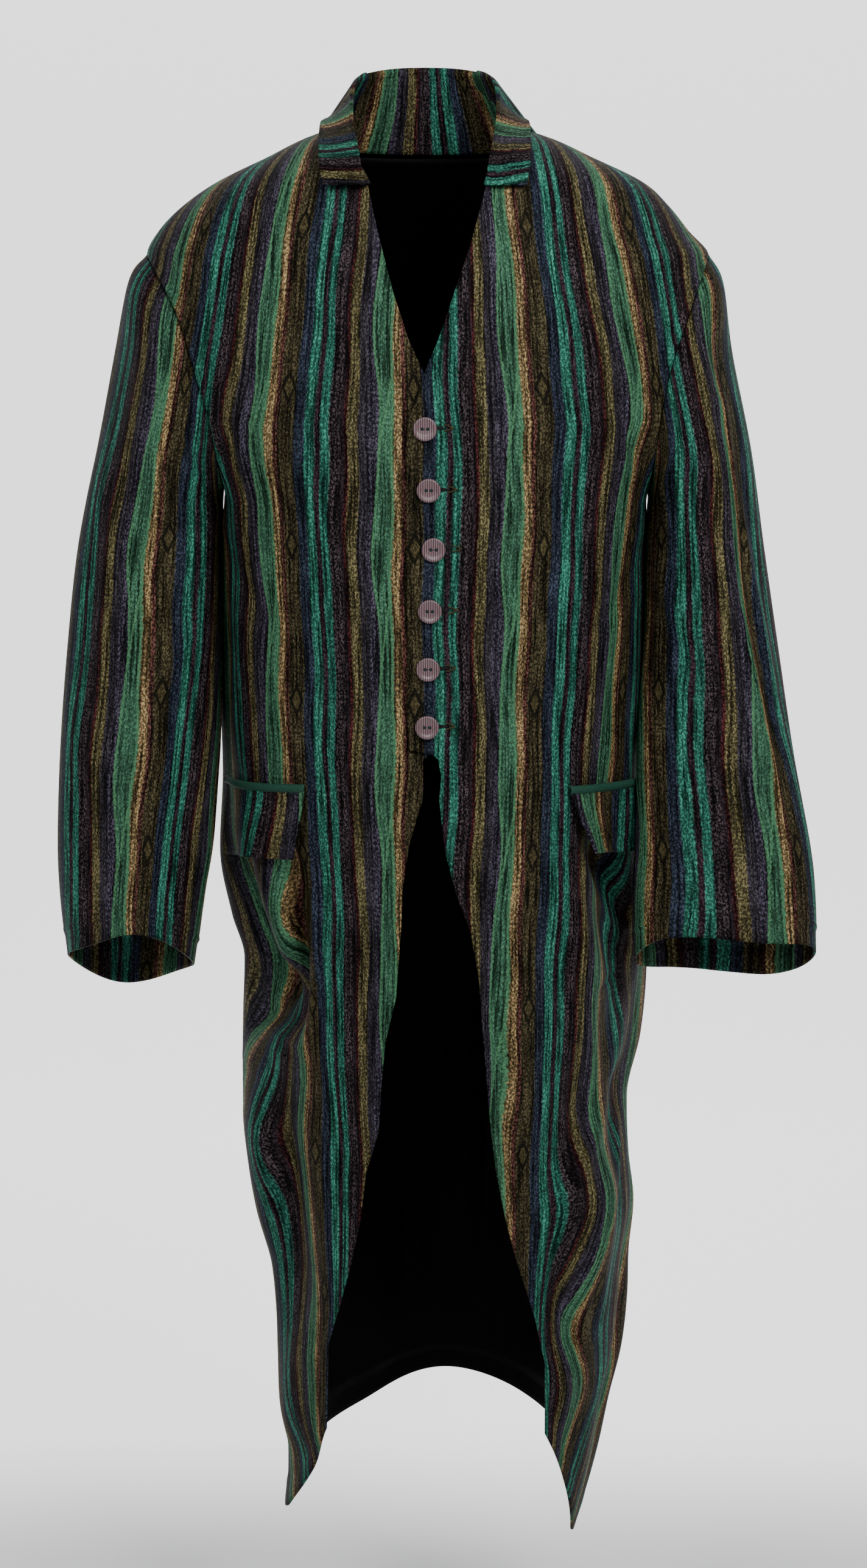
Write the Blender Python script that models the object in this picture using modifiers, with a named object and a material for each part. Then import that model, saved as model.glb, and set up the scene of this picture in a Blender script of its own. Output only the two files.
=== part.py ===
"""A long historic-style jacket in woven stripe, worn shape, hollow, with cutaway fronts.

Metres, +Z up. The front faces -Y and +X is the wearer's left side. The origin is the middle of the
neck between the shoulder points, where the wearer's neck and shoulders hold the jacket up.

The body is a stack of level sections. Each section is a superellipse whose widths and depths come
from BODY_SECTIONS, and every piece of the body is cut from that one surface.
"""

import math

import bpy
import numpy as np
from mathutils import Vector

# Driving dimensions of the cloth
WALL = 0.0020            # woven cloth with its backing
LINING_WALL = 0.0010
SEAM_GAP = 0.0003        # between pieces that are sewn together
PLACKET_DROP = 0.0036    # how far the lower front lies under the upper one
PLACKET_EASE = 0.034     # width over which the lower front sinks under the upper one
LINING_INSET = 0.0026    # from the outside of the back to the lining's outer side

# Counts of steps in the grids of points
FRONT_COLUMNS = 12
BACK_COLUMNS = 20
SLEEVE_STEPS = (0, 0.4, 0.7, 1, 1.5, 2, 3, 4, 5, 6, 7, 8, 8.5, 9)   # in rows of a sleeve's table
SLEEVE_POINTS = 24
COLLAR_STATIONS = 30

NECK_TOP = 0.012         # height of the shoulder seam at the neck
SHOULDER_TIP = -0.097    # height of the shoulder seam at the sleeve head
UNDERARM = -0.310        # height of the bottom of the armhole
BACK_NECK_DROP = 0.020   # how far the back neckline dips below the shoulder points
PROBE_PLACE = 0.01       # steps to each side when a normal is worked out
PROBE_HEIGHT = 0.002
HEM_START = -0.900       # below this height the rows of points bend towards the hem
PLACKET_FOOT = (-0.540, 0.015)   # height where the fronts start to overlap, and how fast
PLACKET_HEAD = (-0.150, 0.020)   # height above which they no longer do
FRONT_QUARTER = 0.24     # length of a quarter of the section, front and back
BACK_QUARTER = 0.22
SIDE_PLACE = 0.985       # folds of the body die out before the side seam
FOLD_FADE = 0.12
NECK_DIP_START = -0.080  # height where the back's rows start to dip towards the neckline

# Heights of the rows of points that the fronts and the back share, so that they meet at the seams.
ROWS = np.concatenate([
    (-1.146, -1.132), np.linspace(-1.100, -0.590, 14), (-0.556, -0.535, -0.5200, -0.5150, -0.5117),
    np.linspace(-0.475, UNDERARM, 5), (-0.285, -0.255, -0.220, -0.180, -0.145, -0.120, -0.105, SHOULDER_TIP),
    (-0.077, -0.056, -0.035, -0.014, 0.000, NECK_TOP),
])

# Level sections of the body: left and right limits in x, then y of the side line, the middle of the
# front and the middle of the back, and the power of the superellipse (2 is an ellipse).
BODY_COLUMNS = ("z", "left", "right", "side_y", "front_y", "back_y", "power")
BODY_SECTIONS = np.array([
    (-1.270, -0.1345, 0.137, 0.020, -0.108, 0.150, 2.0),
    (-1.230, -0.1300, 0.149, 0.020, -0.110, 0.150, 2.0),
    (-1.190, -0.1268, 0.159, 0.020, -0.112, 0.150, 2.0),
    (-1.145, -0.1352, 0.168, 0.020, -0.115, 0.150, 2.0),
    (-1.098, -0.137, 0.179, 0.020, -0.119, 0.149, 2.0),
    (-1.050, -0.138, 0.184, 0.020, -0.123, 0.148, 2.0),
    (-1.005, -0.142, 0.185, 0.020, -0.126, 0.146, 2.0),
    (-0.959, -0.154, 0.189, 0.020, -0.130, 0.144, 2.0),
    (-0.913, -0.162, 0.184, 0.020, -0.134, 0.142, 2.0),
    (-0.860, -0.168, 0.182, 0.020, -0.138, 0.140, 2.1),
    (-0.800, -0.168, 0.194, 0.020, -0.141, 0.137, 2.1),
    (-0.730, -0.166, 0.199, 0.020, -0.143, 0.133, 2.1),
    (-0.690, -0.177, 0.198, 0.020, -0.144, 0.130, 2.1),
    (-0.630, -0.187, 0.194, 0.015, -0.146, 0.125, 2.1),
    (-0.570, -0.184, 0.191, 0.012, -0.147, 0.120, 2.2),
    (-0.510, -0.182, 0.190, 0.012, -0.147, 0.118, 2.3),
    (-0.410, -0.180, 0.190, 0.012, -0.147, 0.118, 2.4),
    (-0.310, -0.179, 0.194, 0.012, -0.145, 0.125, 2.5),
    (-0.255, -0.205, 0.214, 0.010, -0.143, 0.128, 2.5),
    (-0.205, -0.226, 0.232, 0.010, -0.138, 0.127, 2.4),
    (-0.150, -0.241, 0.245, 0.010, -0.130, 0.122, 2.25),
    (-0.120, -0.2450, 0.2475, 0.010, -0.124, 0.117, 2.15),
    (-0.097, -0.2450, 0.2460, 0.010, -0.118, 0.112, 2.1),
    (-0.077, -0.235, 0.229, 0.010, -0.112, 0.105, 2.0),
    (-0.056, -0.2145, 0.212, 0.011, -0.103, 0.097, 2.0),
    (-0.035, -0.184, 0.189, 0.012, -0.092, 0.088, 2.0),
    (-0.014, -0.141, 0.1455, 0.012, -0.078, 0.078, 2.0),
    (0.007, -0.096, 0.096, 0.012, -0.052, 0.066, 2.0),
    (0.012, -0.0775, 0.0740, 0.012, -0.036, 0.062, 2.0),
])

# Distance of the front edge from the middle, down each front. Columns: z, x.
OVER_EDGE = np.array([
    (0.012, 0.0720), (0.000, 0.0660), (-0.014, 0.0590), (-0.0335, 0.0505), (-0.082, 0.0370),
    (-0.121, 0.0235), (-0.160, 0.0101), (-0.192, -0.0033), (-0.222, -0.0131), (-0.240, -0.0172),
    (-0.300, -0.0172), (-0.360, -0.0170), (-0.430, -0.0165), (-0.480, -0.0160), (-0.5117, -0.0154),
    (-0.5150, 0.0040), (-0.5200, 0.0095), (-0.535, 0.0123), (-0.556, 0.0107), (-0.601, 0.0155),
    (-0.640, 0.0255), (-0.671, 0.0371), (-0.716, 0.0451), (-0.748, 0.0473), (-0.788, 0.0511),
    (-0.854, 0.0561), (-0.895, 0.0611), (-0.937, 0.0693), (-0.970, 0.0775), (-0.996, 0.0853),
    (-1.031, 0.0958), (-1.076, 0.1053), (-1.146, 0.1058),
])
UNDER_EDGE = np.array([
    (0.012, -0.0750), (0.000, -0.0690), (-0.014, -0.0615), (-0.0314, -0.0510), (-0.069, -0.0425),
    (-0.121, -0.0290), (-0.160, -0.0161), (-0.183, -0.0058), (-0.200, 0.0030), (-0.222, 0.0110),
    (-0.300, 0.0120), (-0.360, 0.0120), (-0.430, 0.0120), (-0.500, 0.0120), (-0.5117, 0.0090),
    (-0.5200, -0.0034), (-0.5535, -0.0034), (-0.573, -0.0092), (-0.593, -0.0150), (-0.632, -0.0208),
    (-0.672, -0.0224), (-0.732, -0.0268), (-0.772, -0.0364), (-0.812, -0.0402), (-0.853, -0.0424),
    (-0.8945, -0.0543), (-0.936, -0.0588), (-0.978, -0.0665), (-1.0205, -0.0765), (-1.064, -0.0893),
    (-1.146, -0.0916),
])

# Armhole edge of the front and back, seen from the front. Columns: z, left x, right x.
ARMHOLE = np.array([
    (-0.310, -0.1790, 0.1940), (-0.290, -0.1795, 0.1950), (-0.238, -0.1865, 0.2005),
    (-0.197, -0.1985, 0.2080), (-0.145, -0.2155, 0.2260), (-0.112, -0.2340, 0.2390),
    (-0.097, -0.2450, 0.2460),
])

# Height of the hem, from the front edge (0) to the side seam (1), and from there to the middle back.
FRONT_HEM_STEPS = (0.0, 0.3, 0.6, 0.85, 1.0)
OVER_HEM = (-1.146, -1.205, -1.250, -1.270, -1.258)
UNDER_HEM = (-1.146, -1.197, -1.232, -1.2475, -1.240)
BACK_HEM_STEPS = (-1.0, -0.7, -0.4, 0.0, 0.4, 0.7, 1.0)
BACK_HEM = (-1.240, -1.212, -1.188, -1.162, -1.188, -1.216, -1.258)

# Large folds of the body. place runs round a quarter of the section, 0 at the middle and 1 at the side.
# A fold's line leans by slant per metre of height. depth is out of the cloth, and minus is into it.
# Columns: side, place, z, half_height, half_width, depth, slant.
FRONT_FOLDS = (
    ("under", 0.50, -0.690, 0.085, 0.10, 0.010, 0.3),
    ("under", 0.76, -0.700, 0.110, 0.15, -0.034, 0.4),
    ("under", 0.60, -0.900, 0.150, 0.12, -0.012, -0.9),
    ("under", 0.80, -0.960, 0.160, 0.12, 0.006, -0.6),
    ("under", 0.92, -0.440, 0.110, 0.12, -0.008, 0.0),
    ("over", 0.45, -0.700, 0.090, 0.10, 0.009, -0.3),
    ("over", 0.66, -0.680, 0.100, 0.12, -0.020, -0.4),
    ("over", 0.78, -0.860, 0.110, 0.12, -0.014, 0.8),
    ("over", 0.62, -0.960, 0.120, 0.10, 0.010, 0.7),
    ("over", 0.90, -1.080, 0.120, 0.12, -0.010, 0.3),
)
BACK_FOLDS = (
    ("under", 0.35, -0.900, 0.300, 0.16, -0.010, 0.0),
    ("under", 0.72, -0.820, 0.260, 0.16, 0.010, 0.1),
    ("over", 0.30, -0.880, 0.300, 0.16, 0.010, 0.0),
    ("over", 0.66, -0.860, 0.280, 0.16, -0.010, -0.1),
)

# Rings of each sleeve below the armhole. outer and inner are the two ends of the ring seen from the
# front, half_depth is its half size in y, and lift raises the front of the ring over its back.
# Columns: outer_x, outer_z, inner_x, inner_z, middle_y, half_depth, lift.
SLEEVES = {
    "sleeve_right": np.array([
        (-0.2620, -0.119, -0.1815, -0.328, 0.008, 0.080, 0.000),
        (-0.2760, -0.182, -0.1820, -0.350, 0.006, 0.078, 0.000),
        (-0.2922, -0.268, -0.1825, -0.395, 0.002, 0.074, 0.000),
        (-0.3090, -0.354, -0.1830, -0.440, -0.004, 0.070, 0.000),
        (-0.3186, -0.441, -0.1840, -0.490, -0.014, 0.068, 0.000),
        (-0.3254, -0.529, -0.1862, -0.550, -0.026, 0.067, 0.004),
        (-0.3280, -0.610, -0.1900, -0.610, -0.040, 0.066, 0.010),
        (-0.3255, -0.662, -0.1980, -0.660, -0.050, 0.066, 0.022),
        (-0.3194, -0.714, -0.2065, -0.716, -0.060, 0.068, 0.034),
    ]),
    "sleeve_left": np.array([
        (0.2600, -0.121, 0.1970, -0.328, 0.008, 0.080, 0.000),
        (0.2690, -0.182, 0.1965, -0.350, 0.004, 0.076, 0.000),
        (0.2860, -0.267, 0.1958, -0.395, -0.004, 0.070, 0.000),
        (0.2970, -0.353, 0.1945, -0.440, -0.018, 0.064, 0.000),
        (0.3090, -0.440, 0.1905, -0.490, -0.036, 0.058, 0.000),
        (0.3220, -0.527, 0.1868, -0.550, -0.054, 0.053, 0.004),
        (0.3375, -0.610, 0.1825, -0.612, -0.070, 0.049, 0.010),
        (0.3420, -0.655, 0.1803, -0.656, -0.078, 0.047, 0.018),
        (0.3433, -0.706, 0.1810, -0.706, -0.086, 0.046, 0.026),
    ]),
}

# Stations of half the collar, at shares of the way round the neckline from its front end to the
# middle of the back: the roll line at the top, and the outer edge of the fall.
# Columns: share, roll_x, roll_y, roll_z, edge_x, edge_y, edge_z.
COLLAR = np.array([
    (0.00, 0.0505, -0.0985, -0.0330, 0.0870, -0.0892, -0.0330),
    (0.15, 0.0555, -0.0810, -0.0070, 0.0905, -0.0690, -0.0115),
    (0.30, 0.0605, -0.0480, 0.0165, 0.0910, -0.0340, 0.0095),
    (0.44, 0.0620, -0.0180, 0.0380, 0.0900, 0.0000, 0.0180),
    (0.58, 0.0580, 0.0160, 0.0550, 0.0890, 0.0360, 0.0175),
    (0.74, 0.0420, 0.0460, 0.0610, 0.0640, 0.0800, 0.0110),
    (0.88, 0.0210, 0.0600, 0.0635, 0.0320, 0.0980, 0.0060),
    (1.00, 0.0000, 0.0650, 0.0640, 0.0000, 0.1040, 0.0040),
])
COLLAR_MIDDLE_X = -0.002
COLLAR_PROFILE = (0.0, 0.25, 0.40, 0.50, 0.62, 0.78, 1.0)
COLLAR_SAG = 0.13        # how hollow the fall hangs between roll and edge, as a share of its drop
ROLL_WIDTH = 0.14        # share of the collar's profile that turns over the roll line
ROLL_HEIGHT = 0.96       # height of the turned roll, as a share of the sharp one
ROLL_SOFTNESS = 0.25
COLLAR_LIFT = 1.4        # how many walls the collar stands clear of the fronts
COLLAR_FOOT = 0.003      # the neckline starts this far below the collar's front end
SLEEVE_HEAD_SHRINK = 0.985   # the sleeve head lies just inside the armhole
SLEEVE_HEAD_GAP = 0.0027     # and this far outward of it

# Pocket on each front: heights of the top and bottom, and the x of its ends on the cloth.
# Columns: side, top_front, top_side, bottom_front, bottom_side, x_front, x_side, x_low.
POCKETS = {
    "right": ("under", -0.5465, -0.5580, -0.6100, -0.6250, -0.1040, -0.1790, -0.1090),
    "left": ("over", -0.5490, -0.5560, -0.6090, -0.6180, 0.1215, 0.1860, 0.1395),
}
WELT_HEIGHT = 0.008
POCKET_RISE = 0.0032     # from the front's outer side to the welt's and the flap's outer side
FLAP_LIFT = 0.0095       # the same at the flap's loose lower edge
WELT_TILT = 0.0006       # how much further the welt's lower edge stands out
POCKET_STEPS = 8

# The buttons' places down the front edge of the upper front.
BUTTON_DIAMETER = 0.0205
BUTTON_THICKNESS = 0.0036
BUTTON_STEPS = 20
BUTTON_GAP = 0.0006
BUTTONS = ((-0.0017, -0.2367), (0.0014, -0.2884), (0.0055, -0.3388), (0.0024, -0.3915),
           (0.0008, -0.4414), (0.0000, -0.4916))

COLOURS = {
    "stripe_cloth": ((0.055, 0.090, 0.075), 0.75, 0.0),
    "lining_cloth": ((0.006, 0.006, 0.008), 0.45, 0.0),
    "piping": ((0.020, 0.110, 0.070), 0.7, 0.0),
    "button_shell": ((0.30, 0.18, 0.20), 0.35, 0.0),
}


def curve_through(knots, values, at):
    """Smooth curve through rows of values: a cubic Hermite with slopes that never overshoot."""
    knots = np.asarray(knots, float)
    values = np.asarray(values, float)
    order = np.argsort(knots)
    knots, values = knots[order], values[order]
    step = np.diff(knots)
    shape = (-1,) + (1,) * (values.ndim - 1)
    secant = np.diff(values, axis=0) / step.reshape(shape)
    slope = np.concatenate([secant[:1], (secant[:-1] + secant[1:]) / 2, secant[-1:]])
    turning = secant[:-1] * secant[1:] <= 0
    slope[1:-1][turning] = 0
    limit = 3 * np.minimum(abs(secant[:-1]), abs(secant[1:]))
    slope[1:-1] = np.clip(slope[1:-1], -limit, limit)
    at = np.clip(np.asarray(at, float), knots[0], knots[-1])
    i = np.clip(np.searchsorted(knots, at, side="right") - 1, 0, len(step) - 1)
    t = (at - knots[i]) / step[i]
    t = t.reshape(t.shape + (1,) * (values.ndim - 1))
    h = step[i].reshape(t.shape)
    return ((2 * t**3 - 3 * t**2 + 1) * values[i] + (t**3 - 2 * t**2 + t) * h * slope[i]
            + (3 * t**2 - 2 * t**3) * values[i + 1] + (t**3 - t**2) * h * slope[i + 1])


def ease(value):
    """0 up to 0, 1 from 1 on, with a soft start and end between."""
    value = np.clip(value, 0, 1)
    return value * value * (3 - 2 * value)


def section(z):
    """Named sizes of the body's section at height z."""
    row = curve_through(BODY_SECTIONS[:, 0], BODY_SECTIONS[:, 1:], z)
    return dict(zip(BODY_COLUMNS[1:], np.moveaxis(row, -1, 0)))


def fold_depth(folds, side, place, z):
    """Sum of the soft humps and troughs in a table of folds."""
    total = np.zeros(np.broadcast(place, z).shape)
    for fold_side, at, height, half_height, half_width, depth, slant in folds:
        if fold_side != side:
            continue
        across = (place - at - slant * (z - height)) / half_width
        along = (z - height) / half_height
        total += depth * np.exp(-across**2) * np.exp(-along**2)
    return total


def plain_point(side, back, place, z):
    """x and y of the smooth section at a place from 0, the middle, to 1, the side."""
    size = section(z)
    middle = (size["left"] + size["right"]) / 2
    reach = size["left"] - middle if side == "under" else size["right"] - middle
    deep = (size["back_y"] if back else size["front_y"]) - size["side_y"]
    angle = place * math.pi / 2
    power = 2 / size["power"]
    x = middle + reach * np.sign(np.sin(angle)) * abs(np.sin(angle)) ** power
    y = size["side_y"] + deep * np.clip(np.cos(angle), 0, 1) ** power
    return np.stack([x, y, z], -1)


def surface_point(side, back, place, z):
    """Point of the folded outer surface. A place past the side, 1, runs on round the other half."""
    place, z = np.broadcast_arrays(np.asarray(place, float), np.asarray(z, float))
    past = place > 1
    near_place = np.where(past, 2 - place, place)
    halves = []
    for half in (back, not back):
        point = plain_point(side, half, near_place, z)
        step = (plain_point(side, half, near_place + PROBE_PLACE, z)
                - plain_point(side, half, near_place - PROBE_PLACE, z))
        flat = np.where(near_place > SIDE_PLACE, 0.0, 1.0)
        turn = 1 if (side == "over") != half else -1
        normal = turn * np.stack([step[..., 1], -step[..., 0]], -1)
        normal /= np.linalg.norm(normal, axis=-1, keepdims=True)
        folds = BACK_FOLDS if half else FRONT_FOLDS
        lift = fold_depth(folds, side, near_place, z) * ease((1 - near_place) / FOLD_FADE) * flat
        point[..., :2] += lift[..., None] * normal
        halves.append(point)
    return np.where(past[..., None], halves[1], halves[0])


def body_point(side, back, place, z, out=0.0):
    """Point of the body's outer surface moved out along its normal by a distance."""
    place, z = np.broadcast_arrays(np.asarray(place, float), np.asarray(z, float))
    round_step = (surface_point(side, back, place + PROBE_PLACE, z)
                  - surface_point(side, back, place - PROBE_PLACE, z))
    up_step = (surface_point(side, back, place, z + PROBE_HEIGHT)
               - surface_point(side, back, place, z - PROBE_HEIGHT))
    normal = np.cross(round_step, up_step)
    normal *= 1 if (side == "over") != back else -1
    normal /= np.linalg.norm(normal, axis=-1, keepdims=True)
    return surface_point(side, back, place, z) + np.asarray(out)[..., None] * normal


def place_of(side, x, z):
    """Place on the section whose smooth point has this x."""
    size = section(z)
    middle = (size["left"] + size["right"]) / 2
    reach = size["left"] - middle if side == "under" else size["right"] - middle
    share = np.clip((x - middle) / reach, -1, 1)
    return np.sign(share) * np.arcsin(abs(share) ** (size["power"] / 2)) * 2 / math.pi


def armhole_place(side, z):
    """Place where a body piece ends: the armhole above the underarm, the side seam below it."""
    column = 1 if side == "under" else 2
    x = curve_through(ARMHOLE[:, 0], ARMHOLE[:, column], z)
    open_place = place_of(side, x, z)
    inside = (z > UNDERARM) & (z < SHOULDER_TIP)
    return np.where(inside, np.minimum(open_place, 1.0), 1.0)


def grid_faces(rows, columns, start=0, closed_round=False):
    """Triangles of a grid of points, rows by columns, numbered from start."""
    index = start + np.arange(rows * columns).reshape(rows, columns)
    if closed_round:
        index = np.concatenate([index, index[:, :1]], axis=1)
    a, b, c, d = index[:-1, :-1], index[:-1, 1:], index[1:, 1:], index[1:, :-1]
    return np.stack([np.stack([a, b, c], -1), np.stack([a, c, d], -1)], -2).reshape(-1, 3)


def add_piece(name, points, faces, material):
    """Named object from points and faces, in the jacket's collection."""
    mesh = bpy.data.meshes.new(name)
    mesh.from_pydata(points.reshape(-1, 3).tolist(), [], faces.tolist())
    mesh.shade_smooth()
    mesh.materials.append(material)
    piece = bpy.data.objects.new(name, mesh)
    JACKET.objects.link(piece)
    return piece


def shell_object(name, points, material, wall, closed_round=False, outward=True):
    """Open grid of points given a wall on its inner side."""
    faces = grid_faces(*points.shape[:2], closed_round=closed_round)
    piece = add_piece(name, points, faces if outward else faces[:, ::-1], material)
    skin = piece.modifiers.new("cloth wall", "SOLIDIFY")
    skin.thickness = wall
    skin.offset = -1
    return piece


def walled_object(name, outer, inner, material, outward=True):
    """Closed wall between two grids of points. Pieces that meet at a seam share its mitre."""
    rows, columns = outer.shape[:2]
    count = rows * columns
    front = grid_faces(rows, columns)
    back = grid_faces(rows, columns, start=count)[:, ::-1]
    index = np.arange(count).reshape(rows, columns)
    border = np.concatenate([index[0, :-1], index[:-1, -1], index[-1, :0:-1], index[:0:-1, 0]])
    onward = np.roll(border, -1)
    rim = np.concatenate([np.stack([onward, border, border + count], -1),
                          np.stack([onward, border + count, onward + count], -1)])
    faces = np.concatenate([front, back, rim])
    points = np.concatenate([outer.reshape(-1, 3), inner.reshape(-1, 3)])
    return add_piece(name, points, faces if outward else faces[:, ::-1], material)


def make_material(name):
    """Principled material from COLOURS."""
    colour, roughness, metallic = COLOURS[name]
    material = bpy.data.materials.new(name)
    material.use_nodes = True
    shader = material.node_tree.nodes["Principled BSDF"]
    shader.inputs["Base Color"].default_value = (*colour, 1.0)
    shader.inputs["Roughness"].default_value = roughness
    shader.inputs["Metallic"].default_value = metallic
    return material


def spread_places(start, end, share):
    """Places along a row from start to end. An armhole moves the outer columns more than the inner."""
    return start + (1 - start) * share - (1 - end) * share**2


def bent_rows(rows, hem):
    """Heights of a grid whose level rows bend, low down, to the heights of the hem along it."""
    bend = np.clip((HEM_START - rows) / (HEM_START - ROWS[0]), 0, 1) ** 1.5
    return rows[:, None] + bend[:, None] * (hem - ROWS[0])


def front_grid(side, depth=0.0):
    """Rows of points of one front, from the hem up, and from its front edge to its outer edge."""
    edge = OVER_EDGE if side == "over" else UNDER_EDGE
    hem = OVER_HEM if side == "over" else UNDER_HEM
    edge_x = np.interp(ROWS, edge[::-1, 0], edge[::-1, 1])
    start = place_of(side, edge_x, ROWS)
    end = armhole_place(side, ROWS)
    share = np.linspace(0, 1, FRONT_COLUMNS + 1)
    place = spread_places(start[:, None], end[:, None], share)
    z = bent_rows(ROWS, curve_through(FRONT_HEM_STEPS, hem, share))
    gap = SEAM_GAP / 2 / FRONT_QUARTER
    place = np.where(share > 0.999, place - gap, place)
    out = np.full(place.shape, -depth)
    if side == "under":
        x = plain_point(side, False, place, z)[..., 0]
        over_x = np.interp(z, OVER_EDGE[::-1, 0], OVER_EDGE[::-1, 1])
        hidden = ease((x - over_x + PLACKET_EASE) / PLACKET_EASE)
        foot, foot_run = PLACKET_FOOT
        head, head_run = PLACKET_HEAD
        closed = ease((z - foot) / foot_run) * ease((head - z) / head_run)
        out -= PLACKET_DROP * hidden * closed
    return body_point(side, False, place, z, out)


def make_front(name, side, material):
    """One front: a wall through its rows of points."""
    return walled_object(name, front_grid(side), front_grid(side, WALL), material, side == "over")


def back_grid(rows, columns, out=0.0):
    """Rows of points of the back, from hem to neck, and from the wearer's right to left."""
    share = np.linspace(-1, 1, columns + 1)
    neck = ease((rows - NECK_DIP_START) / (NECK_TOP - NECK_DIP_START)) * BACK_NECK_DROP
    z = bent_rows(rows, curve_through(BACK_HEM_STEPS, BACK_HEM, share)) - neck[:, None] * (1 - share**2)
    gap = SEAM_GAP / 2 / BACK_QUARTER
    halves = []
    for side, chosen in (("under", share < 0), ("over", share >= 0)):
        end = armhole_place(side, rows)[:, None]
        across = abs(share[chosen])
        place = spread_places(0, end, across) - gap * across
        halves.append(body_point(side, True, place, z[:, chosen], out))
    return np.concatenate(halves, axis=1)


def make_back(material):
    """The back in one piece, from side seam to side seam."""
    inner = back_grid(ROWS, BACK_COLUMNS, out=-WALL)
    return walled_object("back", back_grid(ROWS, BACK_COLUMNS), inner, material, outward=False)


def make_lining(material):
    """The dark lining inside the back, which shows between the fronts."""
    points = back_grid(ROWS, BACK_COLUMNS, out=-LINING_INSET)[1:-2, 1:-1]
    return shell_object("lining", points, material, LINING_WALL, outward=False)


def armhole_loop(side):
    """Points round an armhole: from the shoulder tip down the front edge and up the back edge."""
    turn = np.linspace(0, 2 * math.pi, SLEEVE_POINTS, endpoint=False)
    z = SHOULDER_TIP + (UNDERARM - SHOULDER_TIP) * (1 - np.cos(turn)) / 2
    place = armhole_place(side, z)
    front = body_point(side, False, place, z)
    back = body_point(side, True, place, z)
    return np.where((turn <= math.pi)[:, None], front, back)


def sleeve_grid(name, side):
    """Rings of a sleeve: the armhole's own loop, then the rings of its table, joined smoothly."""
    table = SLEEVES[name]
    turn = np.linspace(0, 2 * math.pi, SLEEVE_POINTS, endpoint=False)
    outer = table[:, None, 0:2]
    inner = table[:, None, 2:4]
    middle, half = (outer + inner) / 2, (outer - inner) / 2
    across = middle + half * np.cos(turn)[None, :, None]
    depth = table[:, 4, None] - table[:, 5, None] * np.sin(turn)
    height = across[..., 1] + table[:, 6, None] * np.sin(turn)
    rings = np.stack([across[..., 0], depth, height], -1)
    out_x = 1 if side == "over" else -1
    loop = armhole_loop(side)
    loop_middle = loop.mean(axis=0)
    loop = loop_middle + (loop - loop_middle) * SLEEVE_HEAD_SHRINK
    loop = loop + np.array([out_x * SLEEVE_HEAD_GAP, 0, 0])
    rings = np.concatenate([loop[None], rings])
    return curve_through(np.arange(len(rings)), rings, SLEEVE_STEPS)


def make_sleeve(name, side, material):
    """One sleeve: a wall through its rings, open at the shoulder and the cuff."""
    points = sleeve_grid(name, side)
    return shell_object(name, points, material, WALL, closed_round=True, outward=(side == "under"))


def neckline(side):
    """Points of the neck seam of one half, from the collar's front end to the middle of the back."""
    front = front_grid(side)
    rows = ROWS > COLLAR[0, 3] - COLLAR_FOOT
    rise = front[rows, 0] + neck_gap(front[rows, 0] - front[rows, 1], SEAM_GAP + COLLAR_LIFT * WALL)
    back = back_grid(ROWS, BACK_COLUMNS)
    top, below = back[-1], back[-2]
    top = top + neck_gap(top - below, SEAM_GAP + WALL)
    half = BACK_COLUMNS // 2
    across = top[half:-1][::-1] if side == "over" else top[1:half + 1]
    return np.concatenate([rise, across])


def neck_gap(away, distance):
    """Steps of one distance along a set of directions."""
    return away / np.linalg.norm(away, axis=-1, keepdims=True) * distance


def collar_half(side):
    """Seam, roll and edge points at each station of half the collar."""
    line = neckline(side)
    length = np.concatenate([[0], np.cumsum(np.linalg.norm(np.diff(line, axis=0), axis=-1))])
    share = np.linspace(0, 1, COLLAR_STATIONS // 2 + 1)
    seam = curve_through(length / length[-1], line, share)
    table = curve_through(COLLAR[:, 0], COLLAR[:, 1:], share).reshape(-1, 2, 3)
    if side == "under":
        table[..., 0] *= -1
    table[..., 0] += COLLAR_MIDDLE_X
    return np.concatenate([seam[:, None], table], axis=1)


def collar_grid():
    """Collar points: a strip from neck seam over the roll line to the outer edge, round the neck."""
    left, right = collar_half("over"), collar_half("under")
    middle = (left[-1:] + right[-1:]) / 2
    rings = np.concatenate([left[:-1], middle, right[-2::-1]])
    seam, roll, edge = rings[:, None, 0], rings[:, None, 1], rings[:, None, 2]
    t = np.array(COLLAR_PROFILE)[None, :, None]
    straight = np.where(t < 0.5, seam + (roll - seam) * t * 2, roll + (edge - roll) * (t * 2 - 1))
    centre = (seam + edge) / 2 + (roll - (seam + edge) / 2) * ROLL_HEIGHT
    rounded = ease((ROLL_WIDTH - abs(t - 0.5)) / ROLL_WIDTH)
    sag = COLLAR_SAG * (roll - edge)[..., 2] * np.sin(math.pi * np.clip(t * 2 - 1, 0, 1))[..., 0]
    points = straight + (centre - straight) * rounded * ROLL_SOFTNESS
    points[..., 2] -= sag
    return points


def make_collar(material):
    """The turned collar."""
    return shell_object("collar", collar_grid(), material, WALL, outward=True)


def on_panel(side, place, z):
    """Points on the flat facets of a front, at these places and heights."""
    grid = front_grid(side)
    edge = OVER_EDGE if side == "over" else UNDER_EDGE
    start = place_of(side, np.interp(z, edge[::-1, 0], edge[::-1, 1]), z)
    column = np.clip((place - start) / (1 - start), 0, 1) * FRONT_COLUMNS
    row = np.interp(z, ROWS, np.arange(len(ROWS)))
    i = np.minimum(row.astype(int), len(ROWS) - 2)
    j = np.minimum(column.astype(int), FRONT_COLUMNS - 1)
    up, across = (row - i)[..., None], (column - j)[..., None]
    low = grid[i, j] * (1 - across) + grid[i, j + 1] * across
    high = grid[i + 1, j] * (1 - across) + grid[i + 1, j + 1] * across
    return low * (1 - up) + high * up


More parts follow.
